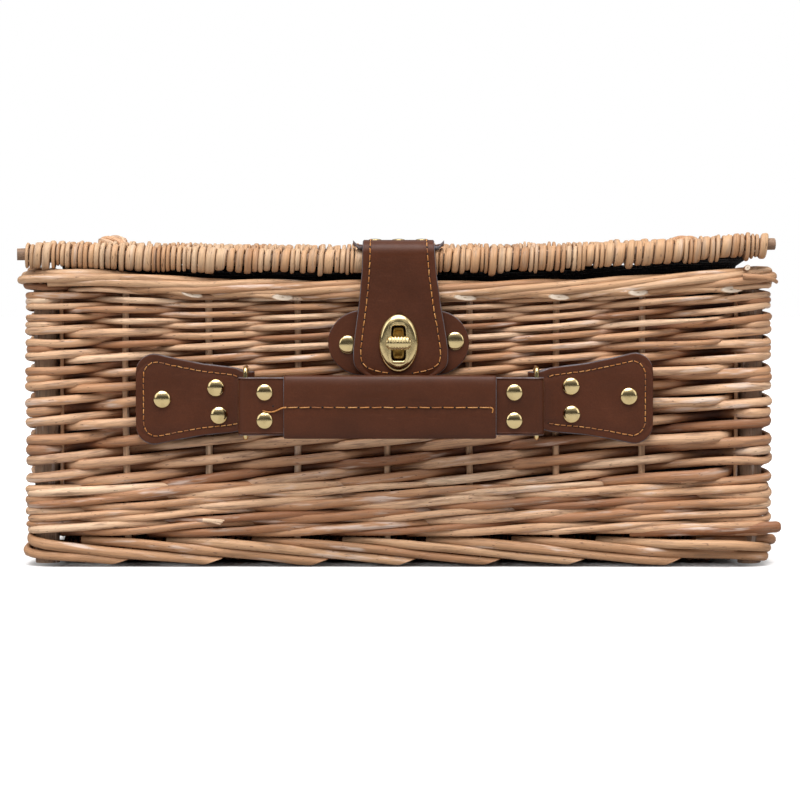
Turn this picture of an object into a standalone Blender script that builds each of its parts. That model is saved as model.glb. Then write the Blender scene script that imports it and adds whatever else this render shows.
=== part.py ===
"""Woven wicker picnic basket with a hinged lid, a leather strap with a turn lock, and a leather handle.

Metres, +Z up, front towards -Y. The origin is at the middle of the footprint, on the ground.
Every part is placed in the basket's own frame, whose empty stands BODY_Y behind the origin,
because the handle stands further out in front than the hinge loops do behind.
"""
import math

import bmesh
import bpy
from mathutils import Matrix

# Basket body
HALF_WIDTH = 0.230
HALF_DEPTH = 0.150
WALL = 0.0135
CORNER_RADIUS = 0.013
GAP = 0.0003
POST_RADIUS = 0.0073
POST_X = 0.2165
POST_Y = 0.1372
FOOT_TOP = 0.0180
WALE_TOP = 0.0420
WALL_TOP = 0.1702
BORDER_TOP = 0.1810
BORDER_PROUD = 0.0025
BORDER_INSET = 0.0160
POST_FOOT = 0.0020
BACK_POST_TOP = 0.1575
BASE_LOW = 0.0045
BASE_HIGH = 0.0195

# Lining
LINING_X = 0.2085
LINING_Y = 0.1288
LINING_SKIN = 0.0016
LINING_TOP = 0.1820

# Sticks that run from side to side in the base and the lid
STICK_RADIUS = 0.0035
STICK_HOLE = 0.0038
BASE_STICKS_Y = (-0.1235, -0.0420, 0.0420, 0.1235)

# Lid
LID_HALF_WIDTH = 0.2285
LID_LOW = 0.1825
LID_THICKNESS = 0.0155
LID_MID = LID_LOW + LID_THICKNESS / 2
LID_HIGH = LID_LOW + LID_THICKNESS
LID_FRONT_Y = -0.1448
LID_BACK_Y = 0.1465
LID_STICKS_Y = (LID_FRONT_Y, -0.0480, 0.0490, LID_BACK_Y)
LID_STICK_END = 0.2335
LID_SPAN_END = 0.2265

# Hinge loops, round the lid's back stick and the back of the top border
LOOP_X = 0.2015
LOOP_HALF_WIDTH = 0.0120
LOOP_Y = (0.1297, 0.1575)
LOOP_Z = (0.1592, 0.1995)
LOOP_SKIN = 0.0035
LOOP_CORNER = 0.0070
LOOP_CLEAR = 0.0020
LOOP_NOTCH_Y = 0.1280

# Closure strap and turn lock
LEATHER = 0.0022
STRAP_FRONT = -0.1565
STRAP_TOP = 0.1990
STRAP_BOTTOM = 0.1145
STRAP_HALF_TOP = 0.0218
STRAP_HALF_LOW = 0.0290
STRAP_WIDEST_Z = 0.1300
STRAP_HOLE = (0.0110, 0.0240)
FOLD_Y = -0.1530
FOLD_Z = 0.1985
STRAP_BACK_Y = -0.1080
LOCK_Z = 0.1380
PLATE_SIZE = (0.0232, 0.0353)
PLATE_SLOT = (0.0089, 0.0215)
PLATE_THICKNESS = 0.0015
TURN_SIZE = (0.0156, 0.0082)
TURN_THICKNESS = 0.0040
SPINDLE_RADIUS = 0.0022
LOCK_BASE_RADIUS = 0.0075
LOCK_BASE_THICKNESS = 0.0012
PATCH_HALF = (0.0430, 0.0200)
PATCH_RIVET_X = 0.0342
LID_PATCH_HALF = 0.0262
LID_RIVETS_X = (-0.0145, 0.0, 0.0145)
LID_RIVET_Y = -0.1200

# Handle
HANDLE_X = -0.0045
RING_X = 0.0880
RING_Z = 0.1020
RING_INNER_Y = -0.1550
RING_REACH = 0.0180
RING_HALF_HEIGHT = 0.0210
RING_CORNER = 0.0026
RING_WIRE = 0.0015
EYE_RADIUS = 0.0021
LOOP_RADIUS = 0.0046
TAB_Z = 0.1032
TAB_LENGTH = 0.0692
TAB_HALF_END = 0.0290
TAB_HALF_LOOP = 0.01825
TAB_LAYERS = 0.0050
TAB_RIVETS = ((0.0190, 0.0084), (0.0190, -0.0084), (0.0538, 0.0010))
HANDLE_STRAP_Z = (0.0828, 0.1178)
HANDLE_LAYERS = 0.0054
HANDLE_RIVET_IN = 0.0122
HANDLE_RIVET_SPACING = 0.0085
GRIP_HALF_LENGTH = 0.0643
GRIP_Z = (0.0806, 0.1190)
GRIP_THICKNESS = 0.0110
GRIP_BORE = 0.0062

# Rivets
RIVET_RADIUS = 0.0049
RIVET_DOME = 0.0022
SHANK_RADIUS = 0.0015
SHANK_HOLE = 0.0018
BURR_RADIUS = 0.0034
BURR_THICKNESS = 0.0010

HANDLE_FRONT = RING_INNER_Y - RING_REACH - GRIP_THICKNESS / 2
BODY_Y = -(HANDLE_FRONT + LOOP_Y[1]) / 2

# Turns that lay a flat outline in a plane of the basket
FACING_FRONT = (math.pi / 2, 0, 0)
ALONG_WIDTH = (math.pi / 2, 0, math.pi / 2)
FLAT = (0, 0, 0)


def clear_scene():
    for obj in list(bpy.data.objects):
        bpy.data.objects.remove(obj, do_unlink=True)


def new_collection(name):
    collection = bpy.data.collections.new(name)
    bpy.context.scene.collection.children.link(collection)
    return collection


def make_material(name, colour, roughness, metallic=0.0):
    material = bpy.data.materials.new(name)
    material.use_nodes = True
    shader = material.node_tree.nodes["Principled BSDF"]
    shader.inputs["Base Color"].default_value = (*colour, 1)
    shader.inputs["Roughness"].default_value = roughness
    shader.inputs["Metallic"].default_value = metallic
    material.diffuse_color = (*colour, 1)
    return material


clear_scene()
parts = new_collection("wicker_basket")
cutters = new_collection("cutters")

willow = make_material("willow", (0.45, 0.27, 0.14), 0.5)
stout_willow = make_material("stout_willow", (0.30, 0.19, 0.11), 0.6)
border_willow = make_material("border_willow", (0.50, 0.30, 0.15), 0.45)
leather = make_material("leather", (0.095, 0.034, 0.019), 0.42)
brass = make_material("brass", (0.78, 0.60, 0.30), 0.2, 1.0)
cloth = make_material("lining_cloth", (0.012, 0.010, 0.011), 0.9)


def empty(name, location, parent=None):
    obj = bpy.data.objects.new(name, None)
    obj.location = location
    obj.parent = parent
    obj.empty_display_size = 0.02
    parts.objects.link(obj)
    return obj


basket = empty("basket_frame", (0, BODY_Y, 0))
lid_axis = empty("lid_axis", (0, LID_BACK_Y, LID_MID), basket)
fold_axis = empty("fold_axis", (0, FOLD_Y - LID_BACK_Y, FOLD_Z - LID_MID), lid_axis)
turn_axis = empty("turn_axis", (0, 0, LOCK_Z), basket)
left_ring_axis = empty("left_ring_axis", (HANDLE_X - RING_X, RING_INNER_Y, RING_Z), basket)
right_ring_axis = empty("right_ring_axis", (HANDLE_X + RING_X, RING_INNER_Y, RING_Z), basket)
handle_axis = empty("handle_axis", (0, -RING_REACH, 0), left_ring_axis)


def place(obj, parent, collection=None):
    """Links an object that is placed in the basket's frame, and parents it to an empty there."""
    for old in list(obj.users_collection):
        old.objects.unlink(obj)
    (collection or parts).objects.link(obj)
    shift = Matrix()
    up = parent
    while up is not basket:
        shift = Matrix.Translation(-up.location) @ shift
        up = up.parent
    obj.parent = parent
    obj.location = shift @ obj.location
    return obj


def from_bmesh(name, bm, material):
    mesh = bpy.data.meshes.new(name)
    bm.to_mesh(mesh)
    bm.free()
    mesh.materials.append(material)
    return bpy.data.objects.new(name, mesh)


def box(name, low, high, material, parent=basket, rounding=0.0, segments=2):
    bpy.ops.mesh.primitive_cube_add(size=1)
    obj = bpy.context.active_object
    obj.name = name
    size = [b - a for a, b in zip(low, high)]
    obj.data.transform(Matrix.Diagonal((*size, 1)))
    obj.location = [(a + b) / 2 for a, b in zip(low, high)]
    obj.data.materials.append(material)
    if rounding:
        bevel = obj.modifiers.new("rounding", "BEVEL")
        bevel.width = rounding
        bevel.segments = segments
    return place(obj, parent)


def cylinder(name, middle, radius, length, axis, material, parent=basket, sides=16):
    turns = {"X": (0, math.pi / 2, 0), "Y": (math.pi / 2, 0, 0), "Z": (0, 0, 0)}
    bm = bmesh.new()
    bmesh.ops.create_cone(
        bm, cap_ends=True, segments=sides, radius1=radius, radius2=radius, depth=length
    )
    obj = from_bmesh(name, bm, material)
    obj.location = middle
    obj.rotation_euler = turns[axis]
    place(obj, parent)
    obj.data.shade_smooth()
    obj.data.set_sharp_from_angle(angle=math.radians(40))
    return obj


def as_cutter(obj):
    for old in list(obj.users_collection):
        old.objects.unlink(obj)
    cutters.objects.link(obj)
    obj.hide_render = True
    obj.display_type = "WIRE"
    return obj


def boolean(obj, cutter, operation="DIFFERENCE"):
    modifier = obj.modifiers.new(operation.lower(), "BOOLEAN")
    modifier.operation = operation
    modifier.object = as_cutter(cutter)
    modifier.solver = "EXACT"


def flat_outline(name, outlines, thickness, turn, middle, material, parent=basket):
    """A plate: closed outlines in one plane, the first the rim and the others holes, given a thickness."""
    curve = bpy.data.curves.new(name, "CURVE")
    curve.dimensions = "2D"
    curve.fill_mode = "BOTH"
    curve.extrude = thickness / 2
    for outline in outlines:
        spline = curve.splines.new("POLY")
        spline.points.add(len(outline) - 1)
        for point, (x, y) in zip(spline.points, outline):
            point.co = (x, y, 0, 1)
        spline.use_cyclic_u = True
    curve.materials.append(material)
    obj = bpy.data.objects.new(name, curve)
    obj.location = middle
    obj.rotation_euler = turn
    return place(obj, parent)


def to_mesh(obj):
    """Replaces a curve object with the same shape as a welded mesh, ready to be cut."""
    bpy.context.view_layer.update()
    graph = bpy.context.evaluated_depsgraph_get()
    mesh = bpy.data.meshes.new_from_object(obj.evaluated_get(graph))
    bm = bmesh.new()
    bm.from_mesh(mesh)
    bmesh.ops.remove_doubles(bm, verts=bm.verts, dist=1e-6)
    bmesh.ops.recalc_face_normals(bm, faces=bm.faces)
    bm.to_mesh(mesh)
    bm.free()
    name, parent, location, turn = obj.name, obj.parent, obj.location.copy(), obj.rotation_euler.copy()
    bpy.data.objects.remove(obj, do_unlink=True)
    solid = bpy.data.objects.new(name, mesh)
    solid.parent = parent
    solid.location = location
    solid.rotation_euler = turn
    parts.objects.link(solid)
    return solid


def arc(cx, cy, radius, start, end, steps):
    """Points on an arc, from one angle in degrees to another."""
    angles = [math.radians(start + (end - start) * i / steps) for i in range(steps + 1)]
    return [(cx + radius * math.cos(a), cy + radius * math.sin(a)) for a in angles]


def circle(cx, cy, radius, sides=14, start=0):
    return arc(cx, cy, radius, start, start + 360 * (sides - 1) / sides, sides - 1)


def rounded_rectangle(low_x, high_x, low_y, high_y, radius, steps=4):
    corners = (
        (high_x - radius, high_y - radius, 0),
        (low_x + radius, high_y - radius, 90),
        (low_x + radius, low_y + radius, 180),
        (high_x - radius, low_y + radius, 270),
    )
    points = []
    for cx, cy, start in corners:
        points += arc(cx, cy, radius, start, start + 90, steps)
    return points


def stadium(half_length, half_height, steps=8):
    """A flat oval with straight top and bottom."""
    flat = half_length - half_height
    right = arc(flat, 0, half_height, -90, 90, steps)
    left = arc(-flat, 0, half_height, 90, 270, steps)
    return right + left


def ring_round_posts(name, low, high, outer, inner, corner, material, posts=True):
    """A band round the basket, whose inner side is hollowed where it passes a corner post."""
    rim = rounded_rectangle(-outer[0], outer[0], -outer[1], outer[1], corner)
    hole = [(-inner[0], -inner[1]), (-inner[0], inner[1]), (inner[0], inner[1]), (inner[0], -inner[1])]
    middle = (0, 0, (low + high) / 2)
    band = flat_outline(name, [rim, hole], high - low, FLAT, middle, material)
    if posts:
        band = to_mesh(band)
        cut_by_posts(band, name, low, high)
    return band


def cut_by_posts(obj, name, low, high):
    for sx in (-1, 1):
        for sy in (-1, 1):
            middle = (sx * POST_X, sy * POST_Y, (low + high) / 2)
            radius = POST_RADIUS + GAP
            tool = f"{name}_post_{'ab'[sx > 0]}{'ab'[sy > 0]}_cutter"
            boolean(obj, cylinder(tool, middle, radius, high - low + 0.01, "Z", willow))


# --- Woven body -----------------------------------------------------------------------------------


def build_posts():
    for side, sx in (("left", -1), ("right", 1)):
        for end, sy in (("front", -1), ("back", 1)):
            top = WALL_TOP - GAP if sy < 0 else BACK_POST_TOP
            middle = (sx * POST_X, sy * POST_Y, (POST_FOOT + top) / 2)
            name = f"corner_post_{end}_{side}"
            cylinder(name, middle, POST_RADIUS, top - POST_FOOT, "Z", stout_willow)


def build_walls():
    """The four panels of randing, each between two corner posts, above the wale."""
    low = WALE_TOP + GAP
    span_x = POST_X - POST_RADIUS - 2 * GAP
    span_y = POST_Y - POST_RADIUS - 2 * GAP
    outer_x, outer_y = HALF_WIDTH, HALF_DEPTH
    spans = {
        "wall_front": ((-span_x, -outer_y, low), (span_x, WALL - outer_y, WALL_TOP)),
        "wall_back": ((-span_x, outer_y - WALL, low), (span_x, outer_y, WALL_TOP)),
        "wall_left": ((-outer_x, -span_y, low), (WALL - outer_x, span_y, WALL_TOP)),
        "wall_right": ((outer_x - WALL, -span_y, low), (outer_x, span_y, WALL_TOP)),
    }
    return {name: box(name, a, b, willow) for name, (a, b) in spans.items()}


def build_rings():
    outer = (HALF_WIDTH, HALF_DEPTH)
    inner = (HALF_WIDTH - WALL, HALF_DEPTH - WALL)
    ring_round_posts("foot_border", 0, FOOT_TOP, outer, inner, CORNER_RADIUS, border_willow)
    ring_round_posts("lower_wale", FOOT_TOP + GAP, WALE_TOP, outer, inner, CORNER_RADIUS, willow)
    outer = (HALF_WIDTH + BORDER_PROUD, HALF_DEPTH + BORDER_PROUD)
    inner = (HALF_WIDTH - BORDER_INSET, HALF_DEPTH - BORDER_INSET)
    low = WALL_TOP + GAP
    ring_round_posts("top_border", low, BORDER_TOP, outer, inner, CORNER_RADIUS, border_willow, False)


def woven_panel(name, sticks_y, low, high, edges_y, half_width, parent):
    """A woven slab with rounded front and back edges and a bore for each stick that runs through it."""
    half = (high - low) / 2
    middle_y = sum(edges_y) / 2
    outline = stadium((edges_y[1] - edges_y[0]) / 2, half)
    # each bore starts at its own angle, so that no two have corners level with each other
    bores = [circle(y - middle_y, 0, STICK_HOLE, start=4 * i) for i, y in enumerate(sticks_y)]
    middle = (0, middle_y, (low + high) / 2)
    slab = flat_outline(name, [outline, *bores], 2 * half_width, ALONG_WIDTH, middle, willow, parent)
    return to_mesh(slab)


def build_base():
    half_x = HALF_WIDTH - WALL - 2 * GAP
    half_y = HALF_DEPTH - WALL - 2 * GAP
    edges = (-half_y, half_y)
    base = woven_panel("base_panel", BASE_STICKS_Y, BASE_LOW, BASE_HIGH, edges, half_x, basket)
    cut_by_posts(base, "base", BASE_LOW, BASE_HIGH)
    names = ("base_stick_front", "base_stick_2", "base_stick_3", "base_stick_back")
    for name, y in zip(names, BASE_STICKS_Y):
        middle = (0, y, (BASE_LOW + BASE_HIGH) / 2)
        cylinder(name, middle, STICK_RADIUS, 2 * POST_X - 0.006, "X", stout_willow, sides=12)


def build_lining():
    """An open-topped cloth box inside the walls and posts."""
    low = BASE_HIGH + GAP
    lining = box(
        "lining", (-LINING_X, -LINING_Y, low), (LINING_X, LINING_Y, LINING_TOP), cloth
    )
    inside_x, inside_y = LINING_X - LINING_SKIN, LINING_Y - LINING_SKIN
    hollow = box(
        "lining_hollow_cutter",
        (-inside_x, -inside_y, low + LINING_SKIN),
        (inside_x, inside_y, LINING_TOP + 0.02),
        cloth,
    )
    boolean(lining, hollow)


# --- Lid and hinge loops --------------------------------------------------------------------------


def build_lid():
    half = LID_THICKNESS / 2
    edges = (LID_FRONT_Y - half, LID_BACK_Y + half)
    lid = woven_panel("lid_panel", LID_STICKS_Y, LID_LOW, LID_HIGH, edges, LID_HALF_WIDTH, lid_axis)
    for side, sx in (("left", -1), ("right", 1)):
        reach = LOOP_HALF_WIDTH + LOOP_CLEAR
        low = (sx * LOOP_X - reach, LOOP_NOTCH_Y, LID_LOW - 0.005)
        high = (sx * LOOP_X + reach, LID_BACK_Y + 0.02, LID_HIGH + 0.005)
        boolean(lid, box(f"lid_notch_{side}_cutter", low, high, willow, lid_axis))
    names = ("lid_stick_front", "lid_stick_2", "lid_stick_3", "lid_stick_back")
    for name, y in zip(names, LID_STICKS_Y):
        half_length = LID_STICK_END if y in (LID_FRONT_Y, LID_BACK_Y) else LID_SPAN_END
        middle = (0, y, LID_MID)
        cylinder(name, middle, STICK_RADIUS, 2 * half_length, "X", stout_willow, lid_axis, 12)
    return lid


def build_hinge_loops(wall_back):
    """Bands of willow round the lid's back stick and the top border, through a gap in the back wall."""
    for side, sx in (("left", -1), ("right", 1)):
        rim = rounded_rectangle(*LOOP_Y, *LOOP_Z, LOOP_CORNER)
        hole = rounded_rectangle(
            LOOP_Y[0] + LOOP_SKIN,
            LOOP_Y[1] - LOOP_SKIN,
            LOOP_Z[0] + LOOP_SKIN,
            LOOP_Z[1] - LOOP_SKIN,
            LOOP_CORNER - LOOP_SKIN,
        )
        flat_outline(
            f"hinge_loop_{side}",
            [rim, hole],
            2 * LOOP_HALF_WIDTH,
            ALONG_WIDTH,
            (sx * LOOP_X, 0, 0),
            border_willow,
        )
        inner, outer = sx * (LOOP_X - LOOP_HALF_WIDTH - LOOP_CLEAR), sx * HALF_WIDTH
        low = (min(inner, outer), HALF_DEPTH - WALL - 0.01, LOOP_Z[0] - LOOP_CLEAR)
        high = (max(inner, outer), HALF_DEPTH + 0.01, WALL_TOP + 0.01)
        boolean(wall_back, box(f"wall_notch_{side}_cutter", low, high, willow))


# --- Rivets ---------------------------------------------------------------------------------------


def rivet(name, x, y, z, depth, turn, parent, radius=RIVET_RADIUS):
    """A domed rivet whose head rests at the given point, with a shank of that depth and a burr."""
    dome = [
        (radius * math.sin(a), GAP + RIVET_DOME * math.cos(a))
        for a in [math.radians(90 * i / 5) for i in range(6)]
    ]
    end = -depth - GAP
    shank = [
        (radius * 0.9, GAP),
        (SHANK_RADIUS, GAP),
        (SHANK_RADIUS, end),
        (BURR_RADIUS, end),
        (BURR_RADIUS, end - BURR_THICKNESS),
        (0, end - BURR_THICKNESS),
    ]
    mesh = bpy.data.meshes.new(name)
    profile = dome + shank
    mesh.from_pydata(
        [(px, 0, pz) for px, pz in profile],
        [(i, i + 1) for i in range(len(profile) - 1)],
        [],
    )
    mesh.materials.append(brass)
    obj = bpy.data.objects.new(name, mesh)
    screw = obj.modifiers.new("turn", "SCREW")
    screw.steps = 12
    screw.render_steps = 12
    screw.use_merge_vertices = True
    screw.merge_threshold = 0.00001
    screw.use_smooth_shade = True
    obj.location = (x, y, z)
    obj.rotation_euler = turn
    return place(obj, parent)


def drill(obj, name, x, y, z, axis, parent=basket, radius=SHANK_HOLE, length=0.06):
    hole = cylinder(f"{name}_cutter", (x, y, z), radius, length, axis, brass, parent, 10)
    boolean(obj, hole)


# --- Closure strap and turn lock ------------------------------------------------------------------


def strap_outline():
    """The hanging strap: a taper that widens downwards and ends in a broad round."""
    right = [(STRAP_HALF_TOP, STRAP_TOP)]
    for i in range(1, 5):
        t = i / 4
        half = STRAP_HALF_TOP + (STRAP_HALF_LOW - STRAP_HALF_TOP) * t**1.3
        right.append((half, STRAP_TOP + (STRAP_WIDEST_Z - STRAP_TOP) * t))
    drop = STRAP_WIDEST_Z - STRAP_BOTTOM
    flat = STRAP_HALF_LOW - drop
    for i in range(1, 6):
        a = math.radians(90 * i / 5)
        right.append((flat + drop * math.cos(a), STRAP_WIDEST_Z - drop * math.sin(a)))
    left = [(-x, z) for x, z in reversed(right)]
    return right + left


def build_strap(lid):
    hole = [
        (x, z + LOCK_Z)
        for x, z in rounded_rectangle(
            -STRAP_HOLE[0] / 2, STRAP_HOLE[0] / 2, -STRAP_HOLE[1] / 2, STRAP_HOLE[1] / 2, 0.003
        )
    ]
    middle = (0, STRAP_FRONT + LEATHER / 2, 0)
    flat_outline(
        "closure_strap", [strap_outline(), hole], LEATHER, FACING_FRONT, middle, leather, fold_axis
    )
    ellipse = [(x * PLATE_SIZE[0] / 2, z * PLATE_SIZE[1] / 2) for x, z in circle(0, 0, 1, 28)]
    slot = rounded_rectangle(
        -PLATE_SLOT[0] / 2, PLATE_SLOT[0] / 2, -PLATE_SLOT[1] / 2, PLATE_SLOT[1] / 2, 0.001, 2
    )
    middle = (0, STRAP_FRONT - GAP - PLATE_THICKNESS / 2, LOCK_Z)
    flat_outline(
        "strap_plate", [ellipse, slot], PLATE_THICKNESS, FACING_FRONT, middle, brass, fold_axis
    )
    top_low = LID_HIGH + GAP
    strap_top = box(
        "strap_top",
        (-STRAP_HALF_TOP, FOLD_Y, top_low),
        (STRAP_HALF_TOP, STRAP_BACK_Y, top_low + LEATHER),
        leather,
        lid_axis,
    )
    patch_low = top_low + LEATHER + GAP
    patch = box(
        "lid_patch",
        (-LID_PATCH_HALF, FOLD_Y + 0.001, patch_low),
        (LID_PATCH_HALF, STRAP_BACK_Y, patch_low + LEATHER),
        leather,
        lid_axis,
        rounding=0.0006,
        segments=1,
    )
    names = ("left", "middle", "right")
    depth = patch_low + LEATHER - LID_LOW
    for name, x in zip(names, LID_RIVETS_X):
        top = patch_low + LEATHER
        rivet(f"lid_rivet_{name}", x, LID_RIVET_Y, top, depth, FLAT, lid_axis, 0.0036)
        for piece in (strap_top, patch, lid):
            drill(piece, f"{piece.name}_{name}", x, LID_RIVET_Y, top, "Z", lid_axis)


def build_turn_lock(wall_front):
    middle = (0, -HALF_DEPTH - GAP - LEATHER / 2, LOCK_Z)
    patch = flat_outline(
        "wall_patch", [stadium(*PATCH_HALF)], LEATHER, FACING_FRONT, middle, leather
    )
    patch = to_mesh(patch)
    front = -HALF_DEPTH - GAP - LEATHER
    depth = LEATHER + GAP + WALL
    for side, sx in (("left", -1), ("right", 1)):
        x = sx * PATCH_RIVET_X
        rivet(f"patch_rivet_{side}", x, front, LOCK_Z, depth, FACING_FRONT, basket)
        for piece in (patch, wall_front):
            drill(piece, f"{piece.name}_patch_{side}", x, front, LOCK_Z, "Y")
    base_middle = front - GAP - LOCK_BASE_THICKNESS / 2
    rim = circle(0, 0, LOCK_BASE_RADIUS, 20)
    bore = circle(0, 0, SPINDLE_RADIUS + GAP, 12)
    flat_outline(
        "lock_base", [rim, bore], LOCK_BASE_THICKNESS, FACING_FRONT, (0, base_middle, LOCK_Z), brass
    )
    turn_back = STRAP_FRONT - GAP - PLATE_THICKNESS - GAP
    turn_front = turn_back - TURN_THICKNESS
    turn_piece = box(
        "turn_piece",
        (-TURN_SIZE[0] / 2, turn_front, LOCK_Z - TURN_SIZE[1] / 2),
        (TURN_SIZE[0] / 2, turn_back, LOCK_Z + TURN_SIZE[1] / 2),
        brass,
        turn_axis,
        rounding=0.0010,
    )
    spindle_back = front - GAP
    spindle_front = turn_back - TURN_THICKNESS / 2
    spindle = cylinder(
        "turn_spindle_tool",
        (0, (spindle_back + spindle_front) / 2, LOCK_Z),
        SPINDLE_RADIUS,
        spindle_back - spindle_front,
        "Y",
        brass,
        turn_axis,
        12,
    )
    boolean(turn_piece, spindle, "UNION")


# --- Handle, rings and tabs -----------------------------------------------------------------------


def tab_half_height(s):
    """Half the tab's height at a distance from the ring: narrow at the loop, flaring to the end."""
    t = max(0.0, min(1.0, (s - 0.004) / 0.046))
    return TAB_HALF_LOOP + (TAB_HALF_END - TAB_HALF_LOOP) * t**1.35


def tab_outline(sx):
    corner = 0.013
    top = [(0.0, TAB_HALF_LOOP)]
    stations = 7
    for i in range(stations + 1):
        s = 0.004 + (TAB_LENGTH - corner - 0.004) * i / stations
        top.append((s, tab_half_height(s)))
    top += arc(TAB_LENGTH - corner, TAB_HALF_END - corner, corner, 90, 0, 5)[1:]
    bottom = [(s, -h) for s, h in reversed(top)]
    outline = [(sx * s, h) for s, h in top + bottom]
    return outline if sx < 0 else outline[::-1]


def build_tab(side, sx, wall_front):
    ring_x = HANDLE_X + sx * RING_X
    back = -HALF_DEPTH - GAP
    middle = (ring_x, back - TAB_LAYERS / 2, TAB_Z)
    tab = flat_outline(
        f"tab_{side}", [tab_outline(sx)], TAB_LAYERS, FACING_FRONT, middle, leather
    )
    tab = to_mesh(tab)
    height = 2 * TAB_HALF_LOOP
    centre = (ring_x, RING_INNER_Y, RING_Z)
    boolean(
        tab,
        cylinder(f"tab_loop_{side}_tool", centre, LOOP_RADIUS, height, "Z", leather, sides=20),
        "UNION",
    )
    eye = cylinder(f"tab_eye_{side}_cutter", centre, EYE_RADIUS, 0.08, "Z", leather, sides=14)
    boolean(tab, eye)
    front = back - TAB_LAYERS
    for label, (s, dz) in zip(("upper", "lower", "outer"), TAB_RIVETS):
        x, z = ring_x + sx * s, TAB_Z + dz
        rivet(
            f"tab_rivet_{side}_{label}", x, front, z, TAB_LAYERS + GAP + WALL, FACING_FRONT, basket
        )
        for piece in (tab, wall_front):
            drill(piece, f"{piece.name}_{side}_{label}", x, front, z, "Y")


def build_ring(side, axis):
    """A rectangular wire ring that stands out from the wall, on two upright bars."""
    x = axis.location.x
    outline = rounded_rectangle(
        RING_INNER_Y - RING_REACH,
        RING_INNER_Y,
        RING_Z - RING_HALF_HEIGHT,
        RING_Z + RING_HALF_HEIGHT,
        RING_CORNER,
        3,
    )
    curve = bpy.data.curves.new(f"ring_{side}", "CURVE")
    curve.dimensions = "3D"
    curve.bevel_depth = RING_WIRE
    curve.bevel_resolution = 2
    curve.use_fill_caps = True
    spline = curve.splines.new("POLY")
    spline.points.add(len(outline) - 1)
    for point, (y, z) in zip(spline.points, outline):
        point.co = (0, y, z, 1)
    spline.use_cyclic_u = True
    curve.materials.append(brass)
    obj = bpy.data.objects.new(f"ring_{side}", curve)
    obj.location = (x, 0, 0)
    return place(obj, axis)


def handle_outline():
    """Seen from above: a doubled strap with an eye at each end for the rings' outer bars."""
    half = HANDLE_LAYERS / 2
    open_angle = math.degrees(math.asin(half / LOOP_RADIUS))
    right = arc(RING_X, 0, LOOP_RADIUS, -180 + open_angle, 180 - open_angle, 18)
    left = arc(-RING_X, 0, LOOP_RADIUS, open_angle, 360 - open_angle, 18)
    return right + left


def build_handle():
    outer_y = RING_INNER_Y - RING_REACH
    low, high = HANDLE_STRAP_Z
    eyes = [circle(sx * RING_X, 0, EYE_RADIUS) for sx in (-1, 1)]
    middle = (HANDLE_X, outer_y, (low + high) / 2)
    strap = flat_outline(
        "handle_strap", [handle_outline(), *eyes], high - low, FLAT, middle, leather, handle_axis
    )
    strap = to_mesh(strap)
    front = outer_y - HANDLE_LAYERS / 2
    for side, sx in (("left", -1), ("right", 1)):
        x = HANDLE_X + sx * (RING_X - HANDLE_RIVET_IN)
        for label, dz in (("upper", HANDLE_RIVET_SPACING), ("lower", -HANDLE_RIVET_SPACING)):
            z = (low + high) / 2 + dz
            name = f"handle_rivet_{side}_{label}"
            rivet(name, x, front, z, HANDLE_LAYERS, FACING_FRONT, handle_axis)
            drill(strap, f"handle_{side}_{label}", x, outer_y, z, "Y", handle_axis)
    half = GRIP_THICKNESS / 2
    grip = box(
        "grip_sleeve",
        (HANDLE_X - GRIP_HALF_LENGTH, outer_y - half, GRIP_Z[0]),
        (HANDLE_X + GRIP_HALF_LENGTH, outer_y + half, GRIP_Z[1]),
        leather,
        handle_axis,
        rounding=0.0016,
    )
    bore = box(
        "grip_bore_cutter",
        (HANDLE_X - 0.09, outer_y - GRIP_BORE / 2, low - GAP),
        (HANDLE_X + 0.09, outer_y + GRIP_BORE / 2, high + GAP),
        leather,
        handle_axis,
    )
    boolean(grip, bore)


def build_basket():
    build_posts()
    walls = build_walls()
    build_rings()
    build_base()
    build_lining()
    lid = build_lid()
    build_hinge_loops(walls["wall_back"])
    build_strap(lid)
    build_turn_lock(walls["wall_front"])
    for side, sx in (("left", -1), ("right", 1)):
        build_tab(side, sx, walls["wall_front"])
    build_ring("left", left_ring_axis)
    build_ring("right", right_ring_axis)
    build_handle()


build_basket()
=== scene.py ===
import math
import random

import bpy
import numpy as np
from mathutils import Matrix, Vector


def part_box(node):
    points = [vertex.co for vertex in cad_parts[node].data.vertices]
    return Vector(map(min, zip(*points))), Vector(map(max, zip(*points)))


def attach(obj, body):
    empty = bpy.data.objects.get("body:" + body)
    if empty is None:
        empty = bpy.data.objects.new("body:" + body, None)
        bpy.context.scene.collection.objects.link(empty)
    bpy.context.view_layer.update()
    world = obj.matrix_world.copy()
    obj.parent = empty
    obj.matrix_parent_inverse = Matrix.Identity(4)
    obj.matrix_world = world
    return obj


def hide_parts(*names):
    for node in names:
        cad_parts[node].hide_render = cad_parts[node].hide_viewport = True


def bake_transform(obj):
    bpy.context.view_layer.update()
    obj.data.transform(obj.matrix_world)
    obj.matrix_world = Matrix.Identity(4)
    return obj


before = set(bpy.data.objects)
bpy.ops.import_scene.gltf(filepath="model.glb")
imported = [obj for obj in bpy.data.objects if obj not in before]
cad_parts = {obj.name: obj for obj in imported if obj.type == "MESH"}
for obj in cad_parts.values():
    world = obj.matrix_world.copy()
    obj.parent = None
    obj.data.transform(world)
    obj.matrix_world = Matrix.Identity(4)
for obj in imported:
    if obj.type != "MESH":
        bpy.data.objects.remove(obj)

for name in ("Cube", "Light", "Camera"):
    if name in bpy.data.objects:
        bpy.data.objects.remove(bpy.data.objects[name])
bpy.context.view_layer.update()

# The basket's own frame: x to the right, y to the back, z up, y = 0 halfway between the front and back walls.
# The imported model's frame is that one moved back by MID_Y.
MID_Y = sum(corner.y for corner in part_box("top_border")) / 2

chance = random.Random(11)
FRONT = (0, -1, 0)


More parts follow.
